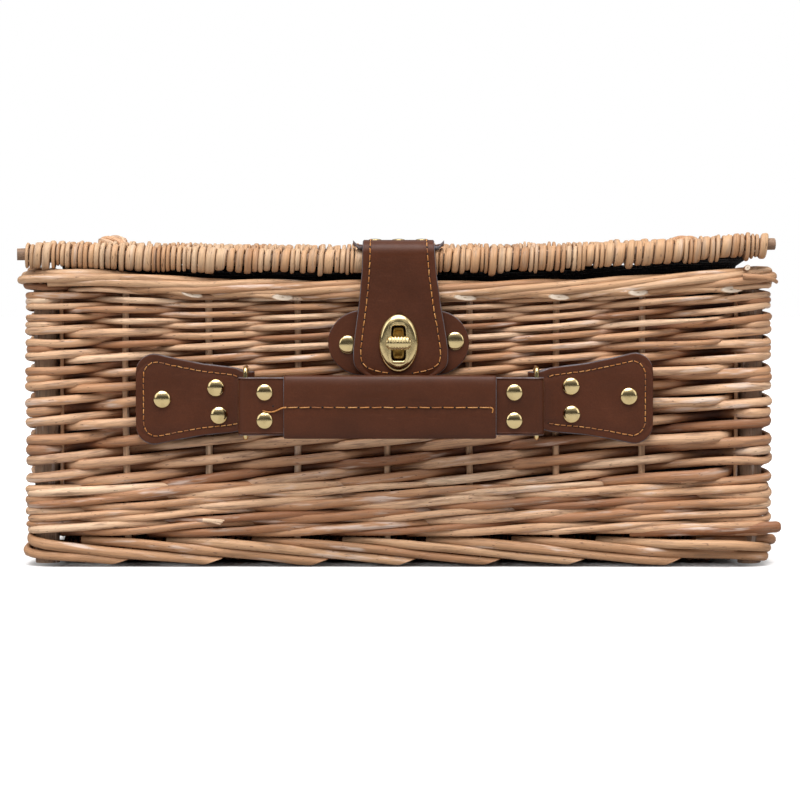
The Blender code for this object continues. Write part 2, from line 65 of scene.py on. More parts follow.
def near(value, share):
    """value, changed by up to that share of it either way."""
    return value * (1 + share * chance.uniform(-1, 1))


def cad(node):
    """A CAD node's box in the basket's own frame: its low and high corners and its middle."""
    low, high = (corner - Vector((0, MID_Y, 0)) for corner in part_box(node))
    return low, high, (low + high) / 2


# ---------------------------------------------------------------- materials

def srgb(*display):
    """A display colour, 0 to 255, as the linear one that shaders take."""
    def linear(c):
        c /= 255
        return c / 12.92 if c <= 0.04045 else ((c + 0.055) / 1.055) ** 2.4
    return (*map(linear, display), 1.0)


class Nodes:
    """A node tree under construction. Values that aren't sockets are set on the node itself."""

    def __init__(self, tree):
        self.tree = tree

    def node(self, kind, inputs, output=0, **settings):
        made = self.tree.nodes.new(kind)
        for key, value in settings.items():
            setattr(made, key, value)
        for key, value in inputs.items():
            self.put(made.inputs[key], value)
        return made.outputs[output] if made.outputs else None

    def put(self, socket, value):
        if isinstance(value, bpy.types.NodeSocket):
            self.tree.links.new(value, socket)
        else:
            socket.default_value = value

    def attribute(self, name, output):
        return self.node("ShaderNodeAttribute", {}, output, attribute_name=name)

    def place(self):
        return self.node("ShaderNodeTexCoord", {}, "Object")

    def noise(self, vector, scale, detail=2.0, roughness=0.5):
        stretched = self.node("ShaderNodeMapping", {"Vector": vector, "Scale": scale})
        return self.node("ShaderNodeTexNoise",
                         {"Vector": stretched, "Scale": 1.0, "Detail": detail, "Roughness": roughness})

    def ramp(self, factor, stops):
        """stops are rows of a place and either a grey or a display colour's red, green and blue."""
        made = self.tree.nodes.new("ShaderNodeValToRGB")
        elements = made.color_ramp.elements
        while len(elements) < len(stops):
            elements.new(0.5)
        for element, (place, *colour) in zip(elements, stops):
            element.position = place
            element.color = srgb(*colour) if len(colour) == 3 else (*colour * 3, 1)
        self.put(made.inputs["Fac"], factor)
        return made.outputs["Color"]

    def mix(self, factor, a, b, blend_type="MIX"):
        made = self.tree.nodes.new("ShaderNodeMix")
        made.data_type = "RGBA"
        made.blend_type = blend_type
        self.put(made.inputs[0], factor)
        self.put(made.inputs[6], a)
        self.put(made.inputs[7], b)
        return made.outputs[2]

    def tint(self, base, factor, stops):
        """base multiplied by a ramp."""
        return self.mix(1.0, base, self.ramp(factor, stops), "MULTIPLY")

    def math(self, operation, a, b, clamp=False):
        return self.node("ShaderNodeMath", {0: a, 1: b}, operation=operation, use_clamp=clamp)

    def bump(self, height, distance, strength):
        return self.node("ShaderNodeBump", {"Height": height, "Distance": distance, "Strength": strength})


class Shader(Nodes):
    """A material under construction, with its Principled shader."""

    def __init__(self, name):
        self.material = bpy.data.materials.new(name)
        self.material.use_nodes = True
        super().__init__(self.material.node_tree)

    def set(self, **inputs):
        """Sets the Principled shader's inputs, and gives the finished material."""
        for key, value in inputs.items():
            self.put(self.tree.nodes["Principled BSDF"].inputs[key.replace("_", " ")], value)
        return self.material


def make_willow(name, tones, bark, fleck, gloss=0.5, paleness=0.62, furrow=0.70):
    """Willow: fibres along the rod, patches of bark left on it, small scars, pale patches at random, pale cut ends
    with pith, and painted shade from the shade attribute."""
    s = Shader(name)
    grain = s.attribute("grain", "Vector")
    tone = s.attribute("tone", "Fac")
    cut = s.attribute("cut", "Fac")
    shade = s.attribute("shade", "Fac")
    fibres = s.noise(grain, (38, 1500, 1500), 3.0, 0.65)
    mottle = s.noise(grain, (16, 90, 90), 3.0, 0.6)
    patches = s.noise(grain, (45, 420, 420), 4.0, 0.62)
    scars = s.noise(grain, (260, 900, 900), 2.0, 0.5)
    pale_patches = s.noise(grain, (26, 190, 190), 3.0, 0.6)
    spread = s.node("ShaderNodeMath", {0: mottle, 1: 0.55, 2: -0.275}, operation="MULTIPLY_ADD")
    base = s.ramp(s.math("ADD", tone, spread, True), tones)
    base = s.mix(s.ramp(patches, [(0.50, 0.0), (0.64, 0.75)]), base, bark)
    # Pale patches at random along the rods.
    base = s.mix(s.ramp(pale_patches, [(0.58, 0.0), (0.70, paleness)]), base, srgb(222, 204, 192))
    base = s.mix(s.ramp(scars, [(0.66, 0.0), (0.74, 0.8)]), base, fleck)
    base = s.tint(base, fibres, [(0.25, furrow), (0.48, 0.98), (0.75, 1.10)])
    end = s.ramp(s.math("SUBTRACT", cut, 1.0, True),
                 [(0.0, 168, 136, 106), (0.25, 226, 208, 188), (0.8, 216, 197, 175), (0.97, 150, 116, 86)])
    base = s.mix(s.ramp(cut, [(0.45, 0.0), (0.55, 1.0)]), base, end)
    # Painted shade: the shade attribute darkens the rods deep in the wall and along their creases, and darkens them
    # low in the wall.
    base = s.tint(base, shade, [(0.0, 99, 62, 38), (0.42, 184, 155, 131), (0.80, 1.0)])
    relief = s.math("ADD", s.math("MULTIPLY", fibres, 0.7), s.math("MULTIPLY", patches, 0.6))
    return s.set(Base_Color=base, Roughness=s.ramp(fibres, [(0.2, gloss + 0.14), (0.8, gloss - 0.08)]),
                 Normal=s.bump(relief, 0.0006, 0.75), Specular_IOR_Level=0.42)


def make_leather(name, colour, dark, light, gloss=0.36, grain_size=1100):
    """Smooth finished leather: fine grain, clouded colour, scuffs and a low gloss."""
    s = Shader(name)
    place = s.place()
    clouds = s.noise(place, (26, 26, 26), 4.0, 0.6)
    grain = s.noise(place, (grain_size,) * 3, 3.0, 0.55)
    pores = s.node("ShaderNodeTexVoronoi", {"Vector": place, "Scale": grain_size * 0.62})
    scuffs = s.noise(place, (60, 60, 520), 4.0, 0.7)
    base = s.mix(s.ramp(clouds, [(0.3, 0.0), (0.7, 1.0)]), dark, colour)
    base = s.mix(s.ramp(scuffs, [(0.60, 0.0), (0.80, 0.45)]), base, light)
    base = s.tint(base, grain, [(0.3, 0.86), (0.7, 1.06)])
    relief = s.math("ADD", s.math("MULTIPLY", pores, 0.5), grain)
    return s.set(Base_Color=base, Roughness=s.ramp(scuffs, [(0.3, gloss), (0.75, gloss + 0.16)]),
                 Normal=s.bump(relief, 0.00010, 0.45), Specular_IOR_Level=0.22)


def make_leather_edge():
    """The cut edge of the leather: grey, fibrous, lightly burnished."""
    s = Shader("leather_edge")
    place = s.place()
    fibres = s.noise(place, (900, 900, 900), 4.0, 0.7)
    clouds = s.noise(place, (120, 120, 120), 2.0)
    base = s.ramp(fibres, [(0.25, 62, 56, 58), (0.55, 98, 92, 96), (0.8, 140, 134, 138)])
    base = s.mix(s.ramp(clouds, [(0.40, 0.0), (0.65, 0.8)]), base, srgb(74, 48, 40))
    return s.set(Base_Color=base, Roughness=0.62, Normal=s.bump(fibres, 0.0002, 0.8))


def make_brass(name, colour, tarnish, gloss):
    """Polished brass with faint smears, fine scratches and tarnish in patches."""
    s = Shader(name)
    place = s.place()
    smears = s.noise(place, (140, 140, 140), 4.0, 0.6)
    scratches = s.noise(place, (2600, 300, 1800), 3.0, 0.6)
    base = s.mix(s.ramp(smears, [(0.45, 0.0), (0.80, 0.55)]), colour, tarnish)
    return s.set(Base_Color=base, Metallic=1.0, Roughness=s.ramp(smears, [(0.25, gloss), (0.8, gloss + 0.16)]),
                 Normal=s.bump(scratches, 0.00003, 0.35))


def make_cloth():
    """Black woven cotton, its threads 1.1 mm apart, with a soft nap."""
    s = Shader("lining_cloth")
    place = s.place()
    height = None
    for direction in ("X", "Y", "Z"):
        wave = s.node("ShaderNodeTexWave", {"Vector": place, "Scale": 290.0, "Distortion": 0.6,
                                            "Detail": 1.0}, bands_direction=direction)
        height = wave if height is None else s.math("ADD", height, wave)
    nap = s.noise(place, (700, 700, 700), 3.0, 0.7)
    base = s.ramp(nap, [(0.2, 12, 11, 13), (0.55, 24, 22, 25), (0.85, 52, 50, 54)])
    return s.set(Base_Color=base, Roughness=0.95, Normal=s.bump(height, 0.0003, 0.7), Sheen_Weight=0.25,
                 Sheen_Roughness=0.5, Specular_IOR_Level=0.2)


def make_thread():
    """Waxed orange thread, laid in a twist."""
    s = Shader("thread")
    grain = s.attribute("grain", "Vector")
    tone = s.attribute("tone", "Fac")
    twist = s.noise(grain, (1400, 2600, 2600), 2.0)
    base = s.ramp(tone, [(0.0, 140, 82, 36), (0.5, 184, 116, 48), (1.0, 202, 142, 78)])
    base = s.tint(base, twist, [(0.3, 0.72), (0.7, 1.1)])
    return s.set(Base_Color=base, Roughness=0.5, Normal=s.bump(twist, 0.0002, 0.8))


def make_hole():
    """Painted shade: a dark disc that stands for the shadowed inside of a stitch hole or of a gap."""
    s = Shader("stitch_hole")
    place = s.place()
    return s.set(Base_Color=s.ramp(s.noise(place, (2000, 2000, 2000)), [(0.3, 14, 7, 5), (0.7, 34, 18, 12)]),
                 Roughness=0.9)


# Each willow: its tones from dark to light, its bark and its scars.
WILLOW = make_willow(
    "willow",
    [(0.0, 136, 86, 53), (0.25, 171, 121, 83), (0.5, 197, 151, 113), (0.75, 213, 172, 136), (1.0, 228, 198, 167)],
    srgb(146, 112, 88), srgb(84, 52, 36))
BORDER_WILLOW = make_willow(
    "border_willow",
    [(0.0, 148, 101, 68), (0.3, 176, 130, 93), (0.6, 193, 150, 112), (1.0, 204, 167, 133)],
    srgb(150, 112, 80), srgb(96, 60, 40))
LID_WILLOW = make_willow(
    "lid_willow",
    [(0.0, 160, 113, 76), (0.3, 189, 144, 104), (0.6, 198, 157, 118), (1.0, 204, 172, 139)],
    srgb(166, 136, 110), srgb(108, 76, 52), 0.52, 0.30, 0.60)
POST_WILLOW = make_willow(
    "stout_willow",
    [(0.0, 92, 66, 48), (0.4, 128, 98, 76), (0.7, 158, 128, 102), (1.0, 182, 154, 128)],
    srgb(110, 90, 74), srgb(62, 42, 30), 0.56)
LEATHER = make_leather("leather", srgb(82, 42, 23), srgb(67, 33, 16), srgb(102, 57, 35))
LEATHER_EDGE = make_leather_edge()
BRASS = make_brass("brass", srgb(228, 204, 150), srgb(160, 136, 90), 0.08)
# Darker brass for the lock's slot wall and its base: partly tarnish, partly painted shade of the recess behind the
# strap.
DARK_BRASS = make_brass("dark_brass", srgb(164, 130, 66), srgb(92, 66, 32), 0.30)
CLOTH = make_cloth()
THREAD = make_thread()
# HOLE paints the shade inside stitch holes.
HOLE = make_hole()


# ---------------------------------------------------------------- meshes

def piece(name, verts, faces, materials, body, stands_for, face_slots=None, attributes=None, smooth=True):
    """A finished piece: a mesh in the basket's own frame, its materials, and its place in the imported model."""
    mesh = bpy.data.meshes.new(name)
    verts = np.asarray(verts, float) + (0, MID_Y, 0)
    mesh.from_pydata(verts.tolist(), [], faces)
    if smooth:
        mesh.shade_smooth()
    for m in materials:
        mesh.materials.append(m)
    if face_slots is not None:
        mesh.polygons.foreach_set("material_index", np.asarray(face_slots, np.int32))
    for key, values in (attributes or {}).items():
        values = np.asarray(values, np.float32)
        kind, field = ("FLOAT_VECTOR", "vector") if values.ndim == 2 else ("FLOAT", "value")
        mesh.attributes.new(key, kind, "POINT").data.foreach_set(field, values.ravel())
    mesh.update()
    made = bpy.data.objects.new(name, mesh)
    bpy.context.scene.collection.objects.link(made)
    if body is not None:
        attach(made, body)
    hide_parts(*stands_for)
    return made


def curve_through(points, fine=0.003, coarse=0.009):
    """Rows of x, y, z and any further values, along a natural cubic curve through the given rows."""
    p = np.asarray(points, float)
    h = np.maximum(np.linalg.norm(np.diff(p[:, :3], axis=0), axis=1), 1e-6)
    d = np.r_[0, np.cumsum(h)]
    n = len(p)
    a = np.zeros((n, n))
    rhs = np.zeros_like(p)
    a[0, 0] = a[-1, -1] = 1
    for i in range(1, n - 1):
        a[i, i - 1:i + 2] = h[i - 1], 2 * (h[i - 1] + h[i]), h[i]
        rhs[i] = 6 * ((p[i + 1] - p[i]) / h[i] - (p[i] - p[i - 1]) / h[i - 1])
    m = np.linalg.solve(a, rhs)
    t = [0.0]
    for i in range(n - 1):
        count = math.ceil(h[i] / min(max(h[i] / 2, fine), coarse))
        t.extend(d[i] + h[i] * (j + 1) / count for j in range(count))
    t = np.array(t)
    k = np.clip(np.searchsorted(d, t, side="right") - 1, 0, n - 2)
    u = ((d[k + 1] - t) / h[k])[:, None]
    v = ((t - d[k]) / h[k])[:, None]
    bend = ((u ** 3 - u) * m[k] + (v ** 3 - v) * m[k + 1]) * (h[k] ** 2)[:, None] / 6
    return u * p[k] + v * p[k + 1] + bend


def unit(v):
    return v / np.maximum(np.linalg.norm(v, axis=-1, keepdims=True), 1e-12)


def lengths(path):
    """How far along a path each of its points is."""
    return np.r_[0, np.cumsum(np.linalg.norm(np.diff(path, axis=0), axis=1))]


def circle(sides):
    """The cosines and sines of even steps round a circle."""
    angle = np.arange(sides) * 2 * math.pi / sides
    return np.cos(angle), np.sin(angle)


def square_to(axis, hint):
    """Two directions square to axis and to each other."""
    first = unit(np.cross(axis, hint))
    return first, np.cross(axis, first)


def tube(rows, sides, start=0, ends=True):
    """The faces of a tube through rows of points, sides of them to a row. One without ends closes into a ring."""
    faces = []
    for i in range(rows - 1 if ends else rows):
        near_row, far_row = start + i * sides, start + (i + 1) % rows * sides
        for j in range(sides):
            k = (j + 1) % sides
            faces.append([near_row + j, near_row + k, far_row + k, far_row + j])
    if ends:
        faces.append([start + j for j in range(sides)][::-1])
        faces.append([start + (rows - 1) * sides + j for j in range(sides)])
    return faces


class Rods:
    """Rods gathered into one mesh, with the values that their material reads."""

    def __init__(self):
        self.co, self.faces = [], []
        self.grain, self.tone, self.cut, self.shade = [], [], [], []
        self.count = 0

    def add(self, path, wide, high, tone, up=(0, 0, 1), sides=10, slants=(0, 0), facing=FRONT,
            rough=0.045, caps=True, crease=0.28, square=1.0):
        """A rod along path, half its width and height given for each point or for all. slants are how far each end's
        cut leans along the rod, so that the cut looks towards facing. crease is how much painted shade darkens its
        sides towards and away from up, where it lies against its neighbours."""
        path = np.asarray(path, float)[:, :3]
        n = len(path)
        wide, high = (np.broadcast_to(np.asarray(v, float), n) for v in (wide, high))
        along = lengths(path)
        tangent = unit(np.gradient(path, axis=0))
        up = np.broadcast_to(np.asarray(up, float), (n, 3))
        first = unit(up - (up * tangent).sum(1)[:, None] * tangent)
        second = np.cross(tangent, first)
        lumps = sum(math.sin(chance.uniform(0, 6)) * np.sin(along * waves + chance.uniform(0, 6))
                    for waves in (37, 83, 190))
        swell = 1 + rough * lumps / 2
        angle = np.arange(sides) * 2 * math.pi / sides
        lobe = (1 + rough * np.cos(2 * angle + chance.uniform(0, 6))
                + rough * 0.6 * np.cos(3 * angle + chance.uniform(0, 6)))
        c, s = (np.sign(v) * np.abs(v) ** square * lobe for v in (np.cos(angle), np.sin(angle)))
        ring = (first[:, None] * (c[None, :] * (high * swell)[:, None])[..., None]
                + second[:, None] * (s[None, :] * (wide * swell)[:, None])[..., None])
        co = path[:, None] + ring
        facing = np.asarray(facing, float)
        for end, slant in ((0, -slants[0]), (-1, slants[1])):
            lean = (ring[end] @ facing) / max(wide[end], 1e-6)
            co[end] -= tangent[end] * (slant * lean)[:, None]
        offset = np.array([chance.uniform(0, 40) for _ in range(3)])
        grain = np.empty((n, sides, 3))
        grain[..., 0] = along[:, None]
        grain[..., 1] = c[None] * high[:, None]
        grain[..., 2] = s[None] * wide[:, None]
        grain += offset
        start = self.count
        self.faces.extend(tube(n, sides, start)[:-2])
        # Painted shade on the rod's sides that lie against its neighbours.
        crease_shade = np.broadcast_to(1 - crease * np.abs(np.cos(angle)) ** 4, (n, sides))
        self.push(co.reshape(-1, 3), grain.reshape(-1, 3), tone, 0.0, crease_shade.ravel())
        if not caps:
            return
        for end, turn in ((0, False), (-1, True)):
            base = self.count
            centre = co[end].mean(0)
            for share, cut in ((1.0, 1.0), (0.5, 1.5)):
                self.push(centre + (co[end] - centre) * share, grain[end], tone, cut)
            self.push(centre[None], grain[end][:1], tone, 2.0)
            for a in range(sides):
                b = (a + 1) % sides
                quad = [base + a, base + b, base + sides + b, base + sides + a]
                tri = [base + sides + a, base + sides + b, base + 2 * sides]
                self.faces.append(quad[::-1] if not turn else quad)
                self.faces.append(tri[::-1] if not turn else tri)

    def push(self, co, grain, tone, cut, shade=1.0):
        self.co.append(co)
        self.grain.append(np.broadcast_to(grain, co.shape))
        self.tone.append(np.full(len(co), tone))
        self.cut.append(np.full(len(co), cut))
        self.shade.append(np.broadcast_to(shade, len(co)))
        self.count += len(co)

    def piece(self, name, material, body, slot, *stands_for, warp=None, in_wall=False, shade=1.0):
        """The finished piece. Deep in the wall the rods get painted shade, which in_wall asks for."""
        co = np.concatenate(self.co)
        shade = np.concatenate(self.shade) * (wall_depth(co) if in_wall else shade)
        if warp is not None:
            co = warp(co)
        return piece(name, co, self.faces, [material], body, stands_for,
                     attributes={"grain": np.concatenate(self.grain), "tone": np.concatenate(self.tone),
                                 "cut": np.concatenate(self.cut), "shade": shade})


LOW_Z, LOW_DARKENING = (0.050, 0.055, 0.075, 0.115), (1.0, 0.68, 0.70, 1.0)


def wall_depth(co):
    """The shade attribute for points of the wall: painted shade, 1 on the wall's outer face and falling to 0 behind
    its middle line, and lower low in the wall.
    """
    past_x, past_y = np.abs(co[:, 0]) - POST_X, np.abs(co[:, 1]) - POST_Y
    out = np.maximum(past_x - CURVE_X, past_y - CURVE_Y)
    turned = np.hypot(np.maximum(past_x, 0), np.maximum(past_y, 0)) - (CURVE_X + CURVE_Y) / 2
    out = np.where((past_x > 0) & (past_y > 0), turned, out)
    # The rods low in the wall are darker as well.
    return np.minimum(np.clip((out + 0.0050) / 0.0095, 0, 1), np.interp(co[:, 2], LOW_Z, LOW_DARKENING))


# ---------------------------------------------------------------- the wall's middle line and its uprights

POST_X, POST_Y, POST_R = 0.2165, 0.1372, 0.0073
CURVE_X, CURVE_Y = 0.0060, 0.0053  # from a post's centre to the wall's middle line
STAKE_R = 0.0020
FRONT_STAKES = (-0.1670, -0.1164, -0.0620, -0.0070, 0.0437, 0.0968, 0.1494)
SIDE_STAKES = (-0.0915, -0.0457, 0.0, 0.0457, 0.0915)
BACK_STAKES = (0.1600, 0.1090, 0.0545, 0.0010, -0.0535, -0.1085, -0.1610)
CORNERS = ((1, -1, 270), (1, 1, 0), (-1, 1, 90), (-1, -1, 180))  # side in x and y, and where its turn begins


def middle_line():
    """Points and outward normals along the wall's middle line, from the middle of the front left turn."""
    rows = []

    def turn(side_x, side_y, first, last):
        for a in np.linspace(math.radians(first), math.radians(last), 7):
            x = side_x * POST_X + CURVE_X * math.cos(a)
            y = side_y * POST_Y + CURVE_Y * math.sin(a)
            rows.append((x, y, math.cos(a), math.sin(a)))

    turn(-1, -1, 225, 270)
    for side_x, side_y, first in CORNERS[:3]:
        turn(side_x, side_y, first, first + 90)
    turn(-1, -1, 180, 225)
    return np.array(rows)


LINE = middle_line()
LINE_S = lengths(LINE[:, :2])
ROUND = LINE_S[-1]
HALF_TURN = LINE_S[6]


def wall_point(s, off):
    """The point s along the wall's middle line, off outside it."""
    x, y, nx, ny = (np.interp(s % ROUND, LINE_S, LINE[:, i]) for i in range(4))
    size = math.hypot(nx, ny)
    return x + nx / size * off, y + ny / size * off


def upright_places():
    """How far along the middle line each upright stands, and which of them are posts."""
    turn = 2 * HALF_TURN
    front = [HALF_TURN + x + POST_X for x in FRONT_STAKES]
    post_2 = turn + 2 * POST_X
    right = [post_2 + HALF_TURN + y + POST_Y for y in SIDE_STAKES]
    post_3 = post_2 + turn + 2 * POST_Y
    back = [post_3 + HALF_TURN + POST_X - x for x in BACK_STAKES]
    post_4 = post_3 + turn + 2 * POST_X
    left = [post_4 + HALF_TURN + POST_Y + y for y in SIDE_STAKES]
    return [0.0, *front, post_2, *right, post_3, *back, post_4, *left], (0, 8, 14, 22)


UPRIGHTS, POSTS = upright_places()
N = len(UPRIGHTS)


def upright(k):
    """How far round upright k stands, counting on past one whole turn."""
    return UPRIGHTS[k % N] + (k // N) * ROUND


def between(k):
    """How far round a place between uprights is, where k isn't a whole number."""
    whole = math.floor(k)
    return upright(whole) + (k - whole) * (upright(whole + 1) - upright(whole))


RIM_X = (-0.225, -0.182, -0.152, -0.121, -0.06, 0.06, 0.101, 0.123, 0.154, 0.184, 0.224)
RIM_RISE = (0.0046, 0.0034, 0.0010, -0.0018, -0.0030, -0.0032, -0.0026, -0.0016, 0.0004, 0.0027, 0.0054)


def rim_warp(co):
    """The rim sags in the middle of the front, stands up at both front corners and bulges out at the left one."""
    co = np.array(co, float)
    height = np.clip((co[:, 2] - 0.112) / 0.062, 0, 1)
    front = np.clip((0.14 - co[:, 1]) / 0.26, 0, 1)
    co[:, 2] += np.interp(co[:, 0], RIM_X, RIM_RISE) * height ** 2 * (3 - 2 * height) * front
    lip = np.clip((co[:, 2] - 0.168) / 0.006, 0, 1) * np.clip((-0.125 - co[:, 1]) / 0.015, 0, 1)
    co[:, 0] -= 0.0024 * lip * np.clip((-0.213 - co[:, 0]) / 0.014, 0, 1)
    return co


# ---------------------------------------------------------------- the woven walls

HEIGHTS = np.array([49.4, 54.8, 60.2, 65.7, 71.7, 77.7, 83.4, 89.2, 95.2, 101.2, 106.3, 111.2, 115.6, 119.9,
                    124.4, 128.7, 132.4, 136.0, 139.5, 142.9, 146.3, 149.7, 153.0, 156.2, 159.2, 162.2,
                    165.0, 167.8]) / 1000
POST_GAP = 0.0103  # from a post's centre to the middle of a rod that touches it


def rod_height(m):
    return float(np.interp(m, np.arange(N), HEIGHTS))


def wall_rod(rods, i):
    """One rod of the French randing: from upright i once round the basket, in front of every second upright."""
    size = near(1.0, 0.09)
    rows = []

    def row(s, off, m, squash=1.0):
        x, y = wall_point(s, off)
        high = np.interp(m, (0, 8, 14, 20, 27), (0.00305, 0.00295, 0.00255, 0.00215, 0.00185)) * size
        wide = min(0.00265, high) * squash
        z = rod_height(m) + chance.uniform(-1, 1) * 0.00035
        rows.append((x, y, z, wide, high))

    def part_way(s, k):
        """How many strokes on from upright k the place s is."""
        step = (upright(k + 1) - upright(k)) if s > upright(k) else (upright(k) - upright(k - 1))
        return (s - upright(k)) / step

    row(upright(i) - 0.009, -0.0045, 0)
    for m in range(N):
        k = i + m
        s = upright(k)
        if k % N in POSTS:
            way = m % 4
            if m == 0:
                row(s + 0.014, -0.0042, 0.2)
            elif way == 2:
                row(s - 0.0165, -0.0040, m - 0.3)
                x, y = wall_point(s, -0.0160)
                rows.append((x, y, rod_height(m), 0.0024, 0.0028))
                row(s + 0.0165, -0.0040, m + 0.3)
            else:
                if way == 0:
                    row(s - 0.0170, -0.0040, m + part_way(s - 0.017, k))
                for ds, off in ((-0.0046, 0.0047), (0, 0.0047), (0.0046, 0.0047)):
                    row(s + ds, off + chance.uniform(-0.0003, 0.0006), m + part_way(s + ds, k), 0.95)
                if way == 0:
                    row(s + 0.0170, -0.0040, m + part_way(s + 0.017, k))
        else:
            off = 0.0046 if m % 2 else -0.0046
            row(s, off + chance.uniform(-0.0002, 0.0002), m)
    row(upright(i + N - 1) + 0.02, -0.002, N - 1)
    path = curve_through(rows)
    rods.add(path, path[:, 3], path[:, 4], chance.betavariate(2.6, 2.4), rough=0.06)


walls = Rods()
for i in range(N):
    wall_rod(walls, i)
# in_wall paints shade on the rods deep in the wall.
walls.piece("wall_weave", WILLOW, "basket", "willow", "wall_front", "wall_back", "wall_left", "wall_right",
            warp=rim_warp, in_wall=True)

stakes = Rods()
for k in range(N):
    if k in POSTS:
        continue
    x, y = wall_point(upright(k), 0)
    lean = chance.uniform(-0.0008, 0.0008)
    path = curve_through([(x - lean, y, 0.006), (x, y, 0.06), (x + lean, y, 0.12), (x, y, 0.1700)], 0.01, 0.02)
    stakes.add(path, near(STAKE_R, 0.06), near(STAKE_R, 0.06), chance.uniform(0.55, 0.95), up=(1, 0, 0))
for side_x, side_y, _ in CORNERS:
    x, y = side_x * (POST_X - 0.0096), side_y * (POST_Y + CURVE_Y)
    path = curve_through([(x, y, 0.04), (x + 0.0004, y, 0.1), (x, y, 0.1700)], 0.01, 0.02)
    stakes.add(path, 0.0013, 0.0013, 0.45, up=(1, 0, 0))
stakes.piece("wall_stakes", WILLOW, "basket", "willow", warp=rim_warp)

for node in ("front_left", "front_right", "back_left", "back_right"):
    low, high, mid = cad("corner_post_" + node)
    post = Rods()
    rows = [(mid.x + chance.uniform(-1, 1) * 0.0003, mid.y + chance.uniform(-1, 1) * 0.0003, z)
            for z in np.linspace(low.z, high.z, 9)]
    path = curve_through(rows, 0.003, 0.004)
    post.add(path, POST_R, POST_R, chance.uniform(0.35, 0.6), up=(1, 0, 0), sides=22, rough=0.03)
    post.piece("corner_post_" + node + "_bark", POST_WILLOW, "basket", "stout_willow", "corner_post_" + node)


# ---------------------------------------------------------------- the lower wale, the foot border and the top border

def waling(rods, k, low_z, size):
    """One strand of the wale: out after upright k, in front of the next two, and in again."""
    rows = []
    rise = chance.uniform(0.0034, 0.0048)
    for at, off, z in ((0.25, -0.0040, -0.0012), (0.55, 0.0010, -0.0006), (1.0, 0.0052, 0.0),
                       (1.5, 0.0056, 0.5 * rise), (2.0, 0.0052, rise), (2.45, 0.0012, rise + 0.0006),
                       (2.8, -0.0040, rise + 0.0010)):
        x, y = wall_point(between(k + at), off)
        rows.append((x, y, low_z + z + chance.uniform(-1, 1) * 0.0003))
    path = curve_through(rows)
    taper = np.linspace(1.06, 0.90, len(path))
    rods.add(path, size * 0.92 * taper, size * taper, chance.betavariate(2.4, 2.4), rough=0.06)


wale = Rods()
for row_z, size in ((0.0222, 0.0024), (0.0298, 0.0026), (0.0376, 0.0027), (0.0448, 0.0026)):
    for k in range(N):
        waling(wale, k, row_z + chance.uniform(-1, 1) * 0.0008, near(size, 0.14))
# One stout rod with its bark on sticks out past the front right corner.
butt = curve_through([(0.142, -0.1462, 0.0214), (0.165, -0.1480, 0.0218), (0.195, -0.1486, 0.0230),
                      (0.226, -0.1480, 0.0246),
                      (0.2318, -0.1478, 0.0250), (0.2336, -0.1478, 0.0251), (0.2346, -0.1478, 0.0252)])
butt_size = np.interp(butt[:, 0], (0.142, 0.2318, 0.2338, 0.2346), (0.0026, 0.0036, 0.0031, 0.0019))
wale.add(butt, butt_size * 0.85, butt_size, 0.05, rough=0.08)
# One weaver has broken off at its tip and splayed.
for spread in (-0.0011, -0.0003, 0.0004, 0.0013):
    splinter = curve_through([(-0.1200, -0.1495, 0.0290 + spread * 0.3), (-0.1145, -0.1510, 0.0286 + spread * 0.6),
                              (-0.1080 + spread, -0.1522, 0.0278 + spread)], 0.001, 0.002)
    wale.add(splinter, 0.0006, np.linspace(0.0009, 0.0005, len(splinter)), 0.95, sides=6)
# in_wall paints shade on the wale's rods deep in the wall.
wale.piece("lower_wale_weave", WILLOW, "basket", "willow", "lower_wale", in_wall=True)


FOOT_ROUTE = ((-0.50, -0.0042, 0.0156), (-0.22, 0.0005, 0.0155), (0.1, 0.0046, 0.0148), (1.0, 0.0050, 0.0102),
              (1.7, 0.0044, 0.0062), (2.0, 0.0040, 0.0045), (2.26, 0.0036, 0.0034))
# At the front left corner two rods come round the post from the side, and one that would run lowest stops short.
FOOT_CORNER = {0: ((-1.3, -0.0042, 0.0182), (-0.9, 0.0020, 0.0182), (-0.3, 0.0048, 0.0176), (0.0, 0.0050, 0.0154),
                   (0.44, 0.0052, 0.0114), (0.9, 0.0050, 0.0088), (1.55, 0.0044, 0.0060), (2.05, 0.0040, 0.0038)),
               27: ((-0.50, -0.0042, 0.0150), (-0.22, 0.0005, 0.0138), (0.2, 0.0046, 0.0116), (1.0, 0.0050, 0.0080),
                    (1.5, 0.0046, 0.0058), (1.95, 0.0040, 0.0036)),
               26: FOOT_ROUTE[:5]}


def foot_rod(rods, k):
    """One rod of the foot border: out before upright k, down across two spaces, and cut off after the second."""
    rows = []
    for at, off, z in FOOT_CORNER.get(k, FOOT_ROUTE):
        x, y = wall_point(between(k + at + chance.uniform(-0.02, 0.02)), off)
        rows.append((x, y, z + chance.uniform(-1, 1) * 0.0002))
    path = curve_through(rows)
    size = near(0.0029, 0.06) * np.linspace(1.05, 0.95, len(path))
    rods.add(path, size * 0.9, size, chance.betavariate(2.8, 2.2), slants=(0, 0.0055), facing=(0, 0, -1), rough=0.05)


def foot_warp(co):
    """The foot border ends a little higher at the front right corner."""
    co = np.array(co, float)
    co[:, 2] += 0.0018 * np.clip((co[:, 0] - 0.165) / 0.04, 0, 1) * np.clip((-0.11 - co[:, 1]) / 0.02, 0, 1)
    return co


foot = Rods()
for k in range(N):
    foot_rod(foot, k)
foot.piece("foot_border_weave", BORDER_WILLOW, "basket", "border_willow", "foot_border", warp=foot_warp)


